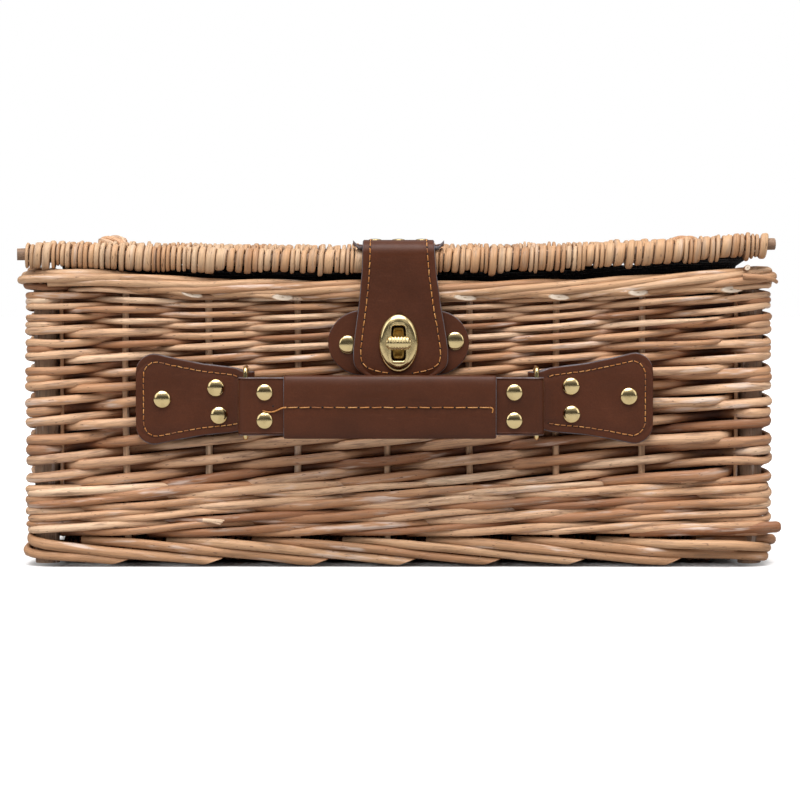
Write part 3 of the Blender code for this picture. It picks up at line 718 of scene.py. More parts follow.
# How a rod of the top border runs, in uprights along from its own, out from the wall's middle line, and up: out from
# the top of the wall, rising over the rods before it, and in again over the rim.
RIM_ROUTE = ((-0.35, -0.0030, 0.1680), (0.0, 0.0030, 0.1690), (0.4, 0.0066, 0.1700), (1.0, 0.0076, 0.1722),
             (1.7, 0.0076, 0.1744), (2.3, 0.0064, 0.1763), (2.75, 0.0026, 0.1771), (3.2, -0.0030, 0.1763),
             (3.7, -0.0058, 0.1748))
RIM_FIRST = ((0.13, 0.0068, 0.1702), (0.5, 0.0074, 0.1712)) + RIM_ROUTE[3:]  # begins with a cut end at the corner
RIM_TIP = ((-1.0, -0.0010, 0.1712), (-0.62, 0.0048, 0.1708), (-0.35, 0.0074, 0.1700), (-0.06, 0.0083, 0.1686))


def rim_rod(rods, k, route, size, slant=0.0):
    """One rod of the top border, or the tip of one that comes out under the others to a long slanting cut."""
    rows = []
    for at, off, z in route:
        x, y = wall_point(between(k + at), off)
        rows.append((x, y, z + chance.uniform(-1, 1) * 0.00025))
    path = curve_through(rows)
    size = near(size, 0.08) * np.linspace(1.0, 0.98, len(path))
    rods.add(path, size * 0.92, size, chance.betavariate(2.8, 2.2), slants=(0, slant),
             facing=outward(between(k + route[-1][0])), rough=0.05)


def outward(s):
    inner, outer = wall_point(s, 0), wall_point(s, 1)
    return (outer[0] - inner[0], outer[1] - inner[1], 0)


# Where the front's tips end, in uprights along from the usual place. The first two uprights have none.
TIP_SHIFT = {2: -0.13, 3: -0.10, 4: 0.0, 5: 0.0, 6: 0.08, 7: 0.0, 8: -0.19}
rim = Rods()
for k in range(N):
    rim_rod(rim, k, RIM_FIRST if k == 0 else RIM_ROUTE, 0.0024)
    shift = TIP_SHIFT.get(k, chance.uniform(-0.12, 0.12))
    if k in TIP_SHIFT or k > 8 and k not in POSTS:
        drop = 0.0020 if k == 8 else 0.0
        rim_rod(rim, k + shift, [(at, off, z - drop) for at, off, z in RIM_TIP], 0.0021, 0.0068)
# At the front right corner one rod ends in a stub over the rim, and a tip curls round the outside.
stub = curve_through([(0.2127, -0.1440, 0.1786), (0.2127, -0.1500, 0.1791), (0.2127, -0.1535, 0.1792)])
rim.add(stub, 0.0017, 0.0017, 0.08, rough=0.06)
curl = curve_through([(0.2100, -0.1536, 0.1742), (0.2190, -0.1548, 0.1732), (0.2272, -0.1524, 0.1716),
                      (0.2312, -0.1455, 0.1698)])
rim.add(curl, 0.0013, np.linspace(0.0019, 0.0013, len(curl)), 0.35, rough=0.08)
rim.piece("top_border_weave", BORDER_WILLOW, "basket", "border_willow", "top_border", warp=rim_warp)


# ---------------------------------------------------------------- the lid and the base

LID_X = (-0.225, -0.182, -0.121, -0.091, -0.06, 0.0, 0.05, 0.0865, 0.101, 0.123, 0.154, 0.184, 0.2087, 0.224)
LID_RISE = (0.0018, 0.0010, -0.0008, -0.0016, -0.0018, -0.0018, -0.0014, -0.0004, 0.0004, 0.0010, 0.0034, 0.0052,
            0.0077, 0.0082)


def lid_warp(co):
    """The lid sags in the middle and its front right corner stands up."""
    co = np.array(co, float)
    front = np.clip((0.17 - co[:, 1]) / 0.32, 0.0, 1)
    co[:, 2] += np.interp(co[:, 0], LID_X, LID_RISE) * front
    return co


def wrap_widths(length):
    """Weaver widths along a stick: mostly single rods, some flat wide ones and some thin pairs."""
    widths = []
    while sum(widths) < length:
        kind = chance.random()
        if kind < 0.30:
            thin = near(0.0030, 0.18)
            widths += [thin, thin]
        elif kind < 0.72:
            widths.append(near(0.0046, 0.16))
        else:
            widths.append(near(0.0062, 0.14))
    scale = length / sum(widths)
    return [w * scale for w in widths]


def panel_rise(y, sticks):
    """How much higher a panel stands over its inner sticks than at its front and back edges."""
    return PANEL_RISE * min(1.0, max(0.0, (y - sticks[0] - 0.02) / 0.04, 0.0), max(0.0, (sticks[3] - y) / 0.04))


PANEL_RISE = 0.0013
CLOSE, CLOSE_RISE = 0.0120, 0.30  # how near a stick a weaver bends, and how much of its rise it has there
SHUT = 0.0150  # how far from the front and back sticks the weavers over them have come down again
LEAST = 0.33  # half a weaver's width between the sticks, as a share of its place, so that little light shows through


def hairpin(rods, x, width, join, sticks, z, stick_r, thick, tone, droop):
    """A weaver from the back stick to the front one, under it and over it, and to the back again. join is the x of
    its two ends on the back stick."""
    q = width * 0.25
    front, back = sticks[0], sticks[3]
    reach = stick_r + thick
    rows = []

    def put(dx, y, dz, share):
        rows.append((x + dx, y, z + dz + panel_rise(y, sticks), width * share))

    def turn(y, first, last, dx_0, dx_1, share, low=0.0):
        for a in np.linspace(first, last, 5):
            t = (a - first) / (last - first)
            down = low * max(0.0, -math.sin(math.radians(a)))
            put(dx_0 + (dx_1 - dx_0) * t, y + reach * math.cos(math.radians(a)),
                reach * math.sin(math.radians(a)) - down, share)

    def leg(dx, ys, way):
        """From the edge stick at ys[0] to the one at ys[3]: under and over the inner ones, bending close to them."""
        put(dx, ys[0] + way * SHUT, reach * CLOSE_RISE, LEAST)
        for before, y, dz in ((ys[0], ys[1], -reach), (ys[1], ys[2], reach)):
            put(dx, (before + y) / 2, 0, LEAST)
            put(dx, y - way * CLOSE, dz * CLOSE_RISE, LEAST)
            put(dx, y, dz, 0.39)
            put(dx, y + way * CLOSE, dz * CLOSE_RISE, LEAST)
        put(dx, (ys[2] + ys[3]) / 2, 0, LEAST)
        put(dx, ys[3] - way * SHUT, -reach * CLOSE_RISE, LEAST)

    turn(back, 0, 90, join[0] - x, -q, 0.42)
    leg(-q, sticks[::-1], -1)
    turn(front, 270, 90, -q * 0.7, q * 0.7, 0.47, droop)
    leg(q, sticks, 1)
    turn(back, -90, 0, q, join[1] - x, 0.42)
    path = curve_through(rows, 0.0028, 0.012)
    # crease paints shade on the weavers' sides, between neighbouring weavers.
    rods.add(path, np.full(len(path), thick), np.maximum(path[:, 3], LEAST * width), tone, up=(1, 0, 0), sides=10,
             rough=0.09, crease=0.44, square=0.72)


def woven_panel(rods, left, right, sticks, z, stick_r, thick, droop):
    """A flat panel from x = left to right: weavers from front to back, wrapped round the front and back sticks."""
    widths = wrap_widths(right - left)
    edges = np.r_[left, left + np.cumsum(widths)]
    tone = 0.5
    for i, width in enumerate(widths):
        if i % 2 == 0:
            tone = chance.betavariate(2.2, 2.0)
        hairpin(rods, (edges[i] + edges[i + 1]) / 2 + chance.uniform(-1, 1) * 0.0002, width * near(0.94, 0.05),
                (edges[i], edges[i + 1]), sticks, z + chance.uniform(-1, 1) * 0.0005, stick_r,
                near(thick, 0.20), tone + chance.uniform(-0.10, 0.10), chance.uniform(0, droop))


LID_MID = 0.19025
LID_STICKS = (-0.1442, -0.0480, 0.0490, 0.1462)
LID_STICK_R = 0.0040
weave = Rods()
woven_panel(weave, -0.2282, 0.2264, LID_STICKS, LID_MID, LID_STICK_R, 0.0016, 0.0024)
weave.piece("lid_weave", LID_WILLOW, "lid", "willow", "lid_panel", warp=lid_warp)

lid_sticks = Rods()
for node, y in zip(("front", "2", "3", "back"), LID_STICKS):
    x = cad("lid_stick_" + node)[1].x
    right_x = x - 0.0034
    z = LID_MID + panel_rise(y, LID_STICKS)
    rows = [(-x, y, z), (-x / 3, y, z), (x / 3, y, z), (right_x, y, z)]
    path = curve_through(rows, 0.004, 0.008)
    lid_sticks.add(path, LID_STICK_R * 0.97, LID_STICK_R * 0.97, chance.uniform(0.3, 0.6), sides=14,
                   slants=(0.0004, -0.0005))
lid_sticks.piece("lid_sticks", POST_WILLOW, "lid", "stout_willow",
                 "lid_stick_front", "lid_stick_2", "lid_stick_3", "lid_stick_back", warp=lid_warp)

BASE_MID = 0.0106
BASE_STICKS = (-0.1235, -0.0420, 0.0420, 0.1235)
base_weave = Rods()
woven_panel(base_weave, -0.2075, 0.2075, BASE_STICKS, BASE_MID, 0.0042, 0.0020, 0.0004)
# The woven base is painted darker all over: painted shade under the basket.
base_weave.piece("base_weave", WILLOW, "basket", "willow", "base_panel", shade=0.3)
base_sticks = Rods()
for y in BASE_STICKS:
    z = BASE_MID + panel_rise(y, BASE_STICKS)
    path = curve_through([(-0.2130, y, z), (0, y, z), (0.2130, y, z)], 0.01, 0.02)
    base_sticks.add(path, 0.0040, 0.0040, 0.4, sides=12)
base_sticks.piece("base_sticks", POST_WILLOW, "basket", "stout_willow",
                  "base_stick_front", "base_stick_2", "base_stick_3", "base_stick_back")


def hinge_loop(side, name):
    """A loop of twisted rods that ties the lid's back stick to the rim."""
    low, high, mid = cad(name)
    x, y, z = mid.x, mid.y + 0.0016, mid.z + 0.0014
    half_y, half_z = (high.y - low.y) / 2 - 0.0026, (high.z - low.z) / 2 - 0.0010
    rods = Rods()
    strands, strand_r, spread, squareness = 5, 0.0021, 0.0082, 0.78
    for i in range(strands):
        phase = 2 * math.pi * i / strands
        rows = []
        for a in np.linspace(0, 2 * math.pi, 49):
            twist = 3 * a + phase
            out = strand_r * math.sin(twist)
            c, s = (math.copysign(abs(v) ** squareness, v) for v in (math.cos(a - 1.6), math.sin(a - 1.6)))
            rows.append((x + side * spread * math.cos(twist), y + (half_y + out) * c, z + (half_z + out) * s))
        path = curve_through(rows, 0.0028, 0.004)
        rods.add(path, strand_r, strand_r, chance.uniform(0.25, 0.8), up=(1, 0, 0), sides=8, rough=0.06)
    rods.piece(name + "_twist", WILLOW, "basket", "willow", name)


hinge_loop(-1, "hinge_loop_left")
hinge_loop(1, "hinge_loop_right")


# ---------------------------------------------------------------- the lining

HEM_X = (-0.2085, -0.10, 0.06, 0.123, 0.154, 0.184, 0.200, 0.2085)
HEM_RISE = (0.0004, 0.0004, 0.0006, 0.0016, 0.0028, 0.0044, 0.0044, 0.0030)
FLOOR_Z = 0.0226  # the cloth on the woven base


def make_lining():
    """Black cloth that lines the walls and the base, sewn to the rim, with soft creases where it hangs."""
    high = cad("lining")[1]
    half_x, half_y = high.x - 0.0010, high.y - 0.0010
    corner = 0.010
    outline = []
    for side_x, side_y, first in CORNERS:
        for a in np.linspace(first, first + 90, 7):
            c, s = math.cos(math.radians(a)), math.sin(math.radians(a))
            outline.append((side_x * (half_x - corner) + corner * c, side_y * (half_y - corner) + corner * s, c, s))
    dense = []
    for i, row in enumerate(outline):
        dense.append(row)
        follow = outline[(i + 1) % len(outline)]
        gap = math.hypot(follow[0] - row[0], follow[1] - row[1])
        count = int(gap / 0.009)
        for j in range(1, count):
            t = j / count
            dense.append(tuple(row[n] + (follow[n] - row[n]) * t for n in range(2)) + row[2:])
    dense = np.array(dense)
    count = len(dense)
    around = lengths(dense[:, :2])
    levels = np.r_[np.linspace(0.0232, 0.165, 22), 0.171, 0.175, 0.178, 0.1802, 0.1818]
    verts = []
    proud = np.interp(dense[:, 0], HEM_X, HEM_RISE) * np.clip((0.10 - dense[:, 1]) / 0.2, 0, 1)
    for z in levels:
        t = (z - levels[0]) / (levels[-1] - levels[0])
        crease = 0.0009 * np.sin(around * 61 + 3 * np.sin(around * 17)) + 0.0006 * np.sin(around * 143 + 9 * t)
        crease *= math.sin(math.pi * min(1.0, t * 1.02)) ** 0.7
        flare = 0.0022 * max(0.0, (z - 0.172) / 0.010) + 0.0004 * np.sin(around * 90) * (t > 0.93)
        # The cloth stands out over the rim at the front right corner.
        flare += (0.0075 * np.clip((dense[:, 0] - 0.150) / 0.05, 0, 1) * (dense[:, 1] < -0.08)
                  * max(0.0, (z - 0.1775) / 0.0043))
        pulled = 0.006 * max(0.0, 1 - t * 9) ** 2
        off = (crease - 0.0010 + flare - pulled)[:, None]
        verts.append(np.column_stack([dense[:, :2] + dense[:, 2:] * off, z + proud * max(0.0, (z - 0.165) / 0.0168)]))
    for share in (0.96, 0.80, 0.55, 0.28):
        verts.insert(0, np.column_stack([dense[:, :2] * share, FLOOR_Z + 0.0004 * np.sin(around * 40 + share * 9)]))
    faces = tube(len(verts), count)[:-1]
    lining = piece("lining_cloth_liner", rim_warp(np.concatenate(verts)), faces, [CLOTH], "basket",
                   ("lining",))
    shell = lining.modifiers.new("Thickness", "SOLIDIFY")
    shell.thickness = 0.0009
    shell.offset = 0
    hem = Rods()
    top = verts[-1]
    path = np.vstack([top, top[:2]])
    hem.add(path, 0.0010, 0.0013, 0.5, sides=8, rough=0.1)
    hem_piece = hem.piece("lining_hem", CLOTH, "basket", "lining_cloth", warp=rim_warp)


make_lining()


# ---------------------------------------------------------------- leather

THICK = 0.0023  # one layer of leather
STITCH_IN = 0.0047  # how far in from the leather's edge the stitching runs


def leather_strip(name, rows, body, stands_for, inset=STITCH_IN, groove=0.0003, dome=0.0):
    """A strip of leather lofted through rows of (centre, across, normal, half width, thickness), with eased and grey
    cut edges and a shallow groove where the stitching runs."""
    verts, faces, slots = [], [], []
    for centre, across, normal, half, thick in rows:
        centre, across, normal = (np.asarray(v, float) for v in (centre, across, normal))
        scale = min(1.0, half / (inset + 0.002))
        ease = 0.0005 * scale
        ins = [0.0, ease, 0.0013 * scale, (inset - 0.0008) * scale, inset * scale, (inset + 0.0008) * scale]
        down = [ease, 0.0, 0.0, 0.0, groove * scale, 0.0]
        left = half - ins[-1]
        top = [(half - i, thick / 2 - d) for i, d in zip(ins, down)]
        top += [(left * 0.66, thick / 2 + dome * 0.6), (left * 0.33, thick / 2 + dome * 0.9), (0.0, thick / 2 + dome)]
        top = [(-u, h) for u, h in top] + [(u, h) for u, h in top[-2::-1]]
        bottom = [(half, -thick / 2 + ease), (half - ease, -thick / 2), (half * 0.5, -thick / 2), (0, -thick / 2),
                  (-half * 0.5, -thick / 2), (-half + ease, -thick / 2), (-half, -thick / 2 + ease)]
        verts.extend(centre + across * u + normal * h for u, h in top + bottom)
        loop = len(top) + len(bottom)
        top_count = len(top)
    for i in range(len(rows) - 1):
        for j in range(loop):
            k = (j + 1) % loop
            faces.append([i * loop + j, (i + 1) * loop + j, (i + 1) * loop + k, i * loop + k])
            slots.append(1 if j in (0, top_count - 2, top_count - 1, top_count, loop - 2, loop - 1) else 0)
    faces.append(list(range(loop)))
    faces.append([(len(rows) - 1) * loop + j for j in range(loop)][::-1])
    slots += [1, 1]
    return piece(name, verts, faces, [LEATHER, LEATHER_EDGE], body, stands_for, slots)


def inset_line(outline, distance):
    """An open 2D line moved to its right by distance."""
    p = np.asarray(outline, float)
    t = unit(np.gradient(p, axis=0))
    return p + np.column_stack([t[:, 1], -t[:, 0]]) * distance


def even(points, step):
    """Points every step along a line, as near as an even division allows."""
    p = np.asarray(points, float)
    d = lengths(p)
    count = max(1, round(d[-1] / step))
    t = np.linspace(0, d[-1], count + 1)
    return np.column_stack([np.interp(t, d, p[:, i]) for i in range(p.shape[1])])


class Stitches:
    """Rows of stitching: thread over the leather between holes, each drawn as a small dark disc of painted shade."""

    def __init__(self):
        self.rods = Rods()
        self.holes = []

    def line(self, points, normal_at, pitch=0.0044, radius=0.00036):
        """points are 3D points on the leather's face, and normal_at gives the face's normal at a point."""
        points = even(points, pitch)
        for a, b in zip(points[:-1], points[1:]):
            self.stitch(a, b, normal_at((a + b) / 2), radius)
        for p in points:
            self.holes.append((p, normal_at(p)))

    def stitch(self, a, b, normal, radius):
        normal = np.asarray(normal, float)
        side = unit(np.cross(b - a, normal)) * chance.uniform(-0.00016, 0.00016)
        a, b = a + (b - a) * 0.11 + side, b - (b - a) * 0.11 - side
        rows = [a - normal * 0.0005, a + (b - a) * 0.1 + normal * 0.0001, (a + b) / 2 + normal * near(0.00030, 0.4),
                a + (b - a) * 0.9 + normal * 0.0001, b - normal * 0.0005]
        self.rods.add(curve_through(rows, 0.0006, 0.0008), radius, radius, chance.random(), up=normal, sides=6)

    def piece(self, name, body, *stands_for):
        rods = self.rods
        co = [np.concatenate(rods.co)]
        faces, slots = list(rods.faces), [0] * len(rods.faces)
        count, sides = len(co[0]), 8
        c, s = circle(sides)
        # Each hole is a small dark disc on the leather's face: painted shade.
        for centre, normal in self.holes:
            normal = unit(np.asarray(normal, float))
            first, second = square_to(normal, (0.3, 0.5, 0.8))
            for radius, high in ((0.00062, -0.0004), (0.00062, 0.00004), (0.00030, 0.00006)):
                co.append(centre + normal * high + radius * (c[:, None] * first + s[:, None] * second))
            faces += tube(3, sides, count)
            slots += [1] * (2 * sides + 2)
            count += 3 * sides
        co = np.concatenate(co)
        extra = len(co) - len(np.concatenate(rods.tone))
        grain = np.vstack([np.concatenate(rods.grain), np.zeros((extra, 3))])
        tone = np.r_[np.concatenate(rods.tone), np.zeros(extra)]
        return piece(name, co, faces, [THREAD, HOLE], body, stands_for, slots,
                     {"grain": grain, "tone": tone})


def flat_rows(xs, half_at, y, z_mid, thick):
    """Rows for a leather piece that lies against the front wall and runs along x."""
    rows = []
    for i, x in enumerate(xs):
        t = thick - (0.0008 if i in (0, len(xs) - 1) else 0)
        rows.append(((x, y, z_mid), (0, 0, 1), FRONT, half_at(x), t))
    return rows


# The oval patch on the wall, behind the strap.
low, high, mid = cad("wall_patch")
PATCH_FACE, patch_mid_z, patch_half = low.y, mid.z, (high.z - low.z) / 2
patch_end = high.x


def patch_half_at(x):
    past = max(0.0, abs(x) - (patch_end - patch_half * 1.05))
    return max(0.0008, patch_half * math.sqrt(max(0.0, 1 - (past / (patch_half * 1.05)) ** 2)))


xs = patch_end * np.sin(np.linspace(-math.pi / 2, math.pi / 2, 45))
leather_strip("wall_patch_leather", flat_rows(xs, patch_half_at, low.y + THICK / 2, patch_mid_z, THICK), "basket",
              ("wall_patch",), groove=0.0)


def cut_hole(obj, centre, half):
    """Cuts a box-shaped hole, given in the basket's own frame, right through obj."""
    corners = [(centre[0] + sx * half[0], centre[1] + sy * half[1] + MID_Y, centre[2] + sz * half[2])
               for sx in (-1, 1) for sy in (-1, 1) for sz in (-1, 1)]
    mesh = bpy.data.meshes.new("cutter")
    mesh.from_pydata(corners, [], [(0, 1, 3, 2), (4, 6, 7, 5), (0, 4, 5, 1),
                                   (2, 3, 7, 6), (0, 2, 6, 4), (1, 5, 7, 3)])
    cutter = bpy.data.objects.new("cutter", mesh)
    bpy.context.scene.collection.objects.link(cutter)
    hole = obj.modifiers.new("Hole", "BOOLEAN")
    hole.object = cutter
    hole.solver = "EXACT"
    bpy.context.view_layer.update()
    cut = bpy.data.meshes.new_from_object(obj.evaluated_get(bpy.context.evaluated_depsgraph_get()))
    obj.modifiers.clear()
    obj.data = cut
    bpy.data.objects.remove(cutter)


# The closure strap: over the lid's front edge, down the front, its end rounded below the lock.
LOCK_Z = cad("strap_plate")[2].z
low, high, mid = cad("closure_strap")
STRAP_Y = low.y + THICK / 2
STRAP_TOP_Z = 0.1993
STRAP_END = low.z
BEND = 0.0066
strap_back_y = cad("strap_top")[1].y
bend_y, bend_z = STRAP_Y + BEND, STRAP_TOP_Z - BEND
strap_line = [(strap_back_y, STRAP_TOP_Z + 0.0003), (-0.125, STRAP_TOP_Z + 0.0003), (bend_y, STRAP_TOP_Z)]
strap_line += [(bend_y + BEND * math.cos(a), bend_z + BEND * math.sin(a))
               for a in np.radians((105, 120, 135, 150, 165, 180))]
STRAP_ROUND = 0.0150  # how far up the strap's end its rounding reaches
STRAP_WIDE, STRAP_NARROW = 0.0290, 0.0218  # half its width at its end and on the lid
STRAP_POWER = 2.7  # how square its rounding is
STRAP_TURN = STRAP_END + STRAP_ROUND
strap_line += [(STRAP_Y, z) for z in (0.186, 0.180, 0.170, 0.160, 0.150, 0.140, 0.134)]
strap_line += [(STRAP_Y, STRAP_END + STRAP_ROUND * (1 - math.sin(a))) for a in np.linspace(0, math.pi / 2, 14)]
strap_line = np.array(strap_line)


def strap_half_at(z):
    """Half the strap's width on the front, wider towards its rounded end."""
    if z > STRAP_TURN:
        return float(np.interp(z, (STRAP_TURN, 0.134, 0.145, 0.160, 0.178, 0.199),
                               (STRAP_WIDE, STRAP_WIDE, 0.0276, 0.0252, 0.0230, STRAP_NARROW)))
    past = min(1.0, (STRAP_TURN - z) / STRAP_ROUND)
    return max(0.0008, STRAP_WIDE * (1 - past ** STRAP_POWER) ** 0.5)


def strap_middle_at(z):
    """The strap hangs slightly to the right of the lock's middle."""
    return float(np.interp(z, (0.135, 0.199), (0.0013, 0.0)))


rows = []
along = unit(np.gradient(strap_line, axis=0))
for (y, z), (ny, nz) in zip(strap_line, np.column_stack([along[:, 1], -along[:, 0]])):
    half = strap_half_at(z) if y < bend_y - 1e-6 else STRAP_NARROW
    rows.append(((strap_middle_at(z), y, z), (1, 0, 0), (0, ny, nz), half, THICK))
strap = leather_strip("closure_strap_leather", rows, None, ("closure_strap", "strap_top"))
cut_hole(strap, (0, STRAP_Y, LOCK_Z), (0.0056, 0.006, 0.0121))
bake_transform(strap)

seam = Stitches()
for side in (-1, 1):
    line, faces_out = [], []
    for (centre, across, normal, half, thick) in rows:
        if half < STITCH_IN + 0.001 or centre[2] < STRAP_END + STITCH_IN and centre[1] < bend_y:
            continue
        inward = centre[0] + (half - STITCH_IN) * side
        if centre[2] < STRAP_TURN:
            past = (STRAP_TURN - centre[2]) / (STRAP_ROUND - STITCH_IN)
            inward = centre[0] + (STRAP_WIDE - STITCH_IN) * side * max(0.0, 1 - past ** STRAP_POWER) ** 0.5
        line.append((inward, centre[1] + normal[1] * thick / 2, centre[2] + normal[2] * thick / 2))
        faces_out.append(normal)
    line, faces_out = np.array(line), np.array(faces_out)

    def normal_near(p, line=line, faces_out=faces_out):
        return faces_out[np.argmin(np.linalg.norm(line - p, axis=1))]

    seam.line(line, normal_near)
strap_seam = seam.piece("closure_strap_stitching", None)
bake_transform(strap_seam)

# The leather patch under the strap on the lid, its front corners curled up.
low, high, mid = cad("lid_patch")
PATCH_TOP = STRAP_TOP_Z - THICK / 2
ys = np.linspace(low.y + 0.001, high.y, 12)
verts, faces, slots = [], [], []
columns = np.linspace(-1, 1, 17)
for side in (0, 1):
    for y in ys:
        for u in columns:
            forward = max(0.0, (-0.134 - y) / 0.018)
            outer = max(0.0, abs(u) - 0.82) / 0.18
            lift = (0.0030 * outer ** 1.6 * (0.4 + 0.6 * forward)
                    - 0.0016 * math.exp(-((abs(u) - 0.84) / 0.09) ** 2) * forward)
            verts.append((u * (high.x + 0.0016), y, PATCH_TOP - 0.0004 - 0.0021 * side + lift))
count = len(columns)
per = count * len(ys)
for i in range(len(ys) - 1):
    for j in range(count - 1):
        a = i * count + j
        faces.append([a, a + 1, a + count + 1, a + count])
        faces.append([per + a, per + a + count, per + a + count + 1, per + a + 1])
        slots += [0, 0]
border = ([j for j in range(count)] + [i * count + count - 1 for i in range(1, len(ys))]
          + [(len(ys) - 1) * count + j for j in range(count - 2, -1, -1)]
          + [i * count for i in range(len(ys) - 2, 0, -1)])
for a, b in zip(border, border[1:] + border[:1]):
    faces.append([a, per + a, per + b, b])
    slots.append(1)
piece("lid_patch_leather", verts, faces, [LEATHER, LEATHER_EDGE], "lid", ("lid_patch",), slots)


# The handle's tabs on the wall, each folded round its ring.
RING_Z = 0.102
RINGS = {"left": -0.0925, "right": 0.0835}
RING_LOOP = 0.0046 - THICK / 2  # the radius of the leather's middle line round a ring
TAB_LENGTH = 0.0692
TAB_ROUND = 0.013
TAB_FACE = -0.1553
TAB_SHIFT = {"left": 0.0014, "right": 0.0026}  # how far right of its ring's own place each tab lies


def tab_half_at(u):
    """Half a tab's height at the distance u from its ring: a fishtail with round outer corners."""
    wide = float(np.interp(u, (0, 0.0028, 0.0060, 0.012, 0.028, 0.045, 0.058, TAB_LENGTH),
                           (0.0175, 0.0177, 0.0194, 0.0202, 0.0219, 0.0251, 0.0280, 0.0290)))
    past = u - (TAB_LENGTH - TAB_ROUND)
    if past > 0:
        wide -= TAB_ROUND - math.sqrt(max(0.0, TAB_ROUND ** 2 - past ** 2))
    return wide


def make_tab(side, ring_x, tab, tilt):
    """side is 1 where the tab reaches right from its ring and -1 where it reaches left."""
    z_mid = cad(tab)[2].z
    back_y, front_y = -0.1503 - THICK / 2, TAB_FACE + THICK / 2
    ring_y = -0.155
    us = np.r_[TAB_LENGTH - TAB_ROUND * (1 - np.sin(np.linspace(math.pi / 2, 0, 9))), 0.050, 0.044, 0.036, 0.028,
               0.020, 0.012, 0.0072]
    front = [(u, front_y) for u in us]
    turn = [(RING_LOOP * 1.05 * math.cos(a), ring_y - RING_LOOP * math.sin(a))
            for a in np.radians((55, 90, 120, 150, 180, 210, 240, 270))]
    back = [(u, back_y) for u in us[::-1]]
    line = np.array(front + turn + back)
    t = unit(np.gradient(line, axis=0))
    rows = []
    shift = TAB_SHIFT["right" if side > 0 else "left"]
    for (u, y), (tu, ty) in zip(line, t):
        x = ring_x + side * u + shift * min(1.0, max(0.0, u / 0.01))
        rows.append(((x, y, z_mid + tilt * u), (0, 0, 1), (side * -ty, tu, 0), tab_half_at(max(u, 0)), THICK))
    leather_strip(tab + "_leather", rows, "basket", (tab,))
    seam = Stitches()
    outline = [(u, tab_half_at(u)) for u in np.linspace(0.0042, TAB_LENGTH - TAB_ROUND, 26)]
    corner = tab_half_at(TAB_LENGTH - TAB_ROUND)
    outline += [(TAB_LENGTH - TAB_ROUND + TAB_ROUND * math.sin(a), corner - TAB_ROUND + TAB_ROUND * math.cos(a))
                for a in np.linspace(0.15, math.pi / 2, 10)]
    outline = outline + [(u, -v) for u, v in outline[::-1]]
    line = inset_line(outline, STITCH_IN)
    seam.line([(ring_x + side * u + shift * min(1.0, u / 0.01),
                float(np.interp(u, (0.0024, 0.0072), (ring_y - RING_LOOP * 0.82, front_y))) - THICK / 2,
                z_mid + tilt * u + v)
               for u, v in line], lambda p: FRONT, 0.0038, 0.00032)
    seam.piece(tab + "_stitching", "basket")


make_tab(-1, RINGS["left"], "tab_left", 0.008)
make_tab(1, RINGS["right"], "tab_right", 0.018)

# The handle: a strap folded round both rings, and a sewn grip round its middle.
HANDLE_Y = -0.173
LAYER = 0.0014  # from the handle's middle to the middle of each layer of its strap
HANDLE_FACE = HANDLE_Y - LAYER - THICK / 2
low, high, mid = cad("handle_strap")
strap_half, strap_z = (high.z - low.z) / 2, mid.z
left_x, right_x = RINGS["left"], RINGS["right"]


def ring_turn(x, first, last):
    return [(x + RING_LOOP * math.cos(a), HANDLE_Y + RING_LOOP * math.sin(a))
            for a in np.radians(np.linspace(first, last, 9))]


line = [(0.0, HANDLE_Y + LAYER), (left_x + 0.010, HANDLE_Y + LAYER)]
line += ring_turn(left_x, 60, 300)
line += [(left_x + 0.010, HANDLE_Y - LAYER), (left_x + 0.02, HANDLE_Y - LAYER), (0.0, HANDLE_Y - LAYER),
         (right_x - 0.02, HANDLE_Y - LAYER), (right_x - 0.010, HANDLE_Y - LAYER)]
line += ring_turn(right_x, 240, 480)
line += [(right_x - 0.010, HANDLE_Y + LAYER), (0.001, HANDLE_Y + LAYER)]
line = np.array(line)
t = unit(np.gradient(line, axis=0))
rows = [((x, y, strap_z), (0, 0, 1), (ty, -tx, 0), strap_half, THICK) for (x, y), (tx, ty) in zip(line, t)]
leather_strip("handle_strap_leather", rows, "handle", ("handle_strap",), inset=0.0018, groove=0.0001)

low, high, mid = cad("grip_sleeve")
low.x, high.x = low.x - 0.0007, high.x - 0.0007  # a little left of its CAD node, as in the photo
grip_y, grip_z, grip_half, grip_deep = mid.y, mid.z, (high.z - low.z) / 2, (high.y - low.y) / 2
SEAM_DIP = 0.0005
angles = np.radians(np.r_[np.linspace(180, 186, 4), np.linspace(190, 530, 48), np.linspace(534, 540, 4)])[:-1]
xs = np.r_[low.x, low.x + 0.0004, low.x + 0.0012, low.x + 0.0024, np.linspace(low.x + 0.006, high.x - 0.006, 26),
           high.x - 0.0024, high.x - 0.0012, high.x - 0.0004, high.x]
verts = []
power = 0.42
for i, x in enumerate(xs):
    edge = min(i, len(xs) - 1 - i)
    shrink = (0.0009, 0.0003, 0.0, 0.0)[edge] if edge < 4 else 0.0
    for a in angles:
        c, s = math.cos(a), math.sin(a)
        y = math.copysign(abs(c) ** power, c) * (grip_deep - shrink)
        z = math.copysign(abs(s) ** power, s) * (grip_half - shrink)
        y *= 1 - 0.10 * (abs(z) / grip_half) ** 3
        if c < -0.97 and abs(z) < 0.0014:
            y += SEAM_DIP * (1 - abs(z) / 0.0014)
        wave = 0.00025 * math.sin(x * 60 + z * 90)
        verts.append((x, grip_y + y + wave, grip_z + z))
slots = [1 if i in (0, len(xs) - 2) else 0 for i in range(len(xs) - 1) for _ in angles] + [1, 1]
piece("grip_leather", verts, tube(len(xs), len(angles)), [LEATHER, LEATHER_EDGE], "handle",
      ("grip_sleeve",), slots)

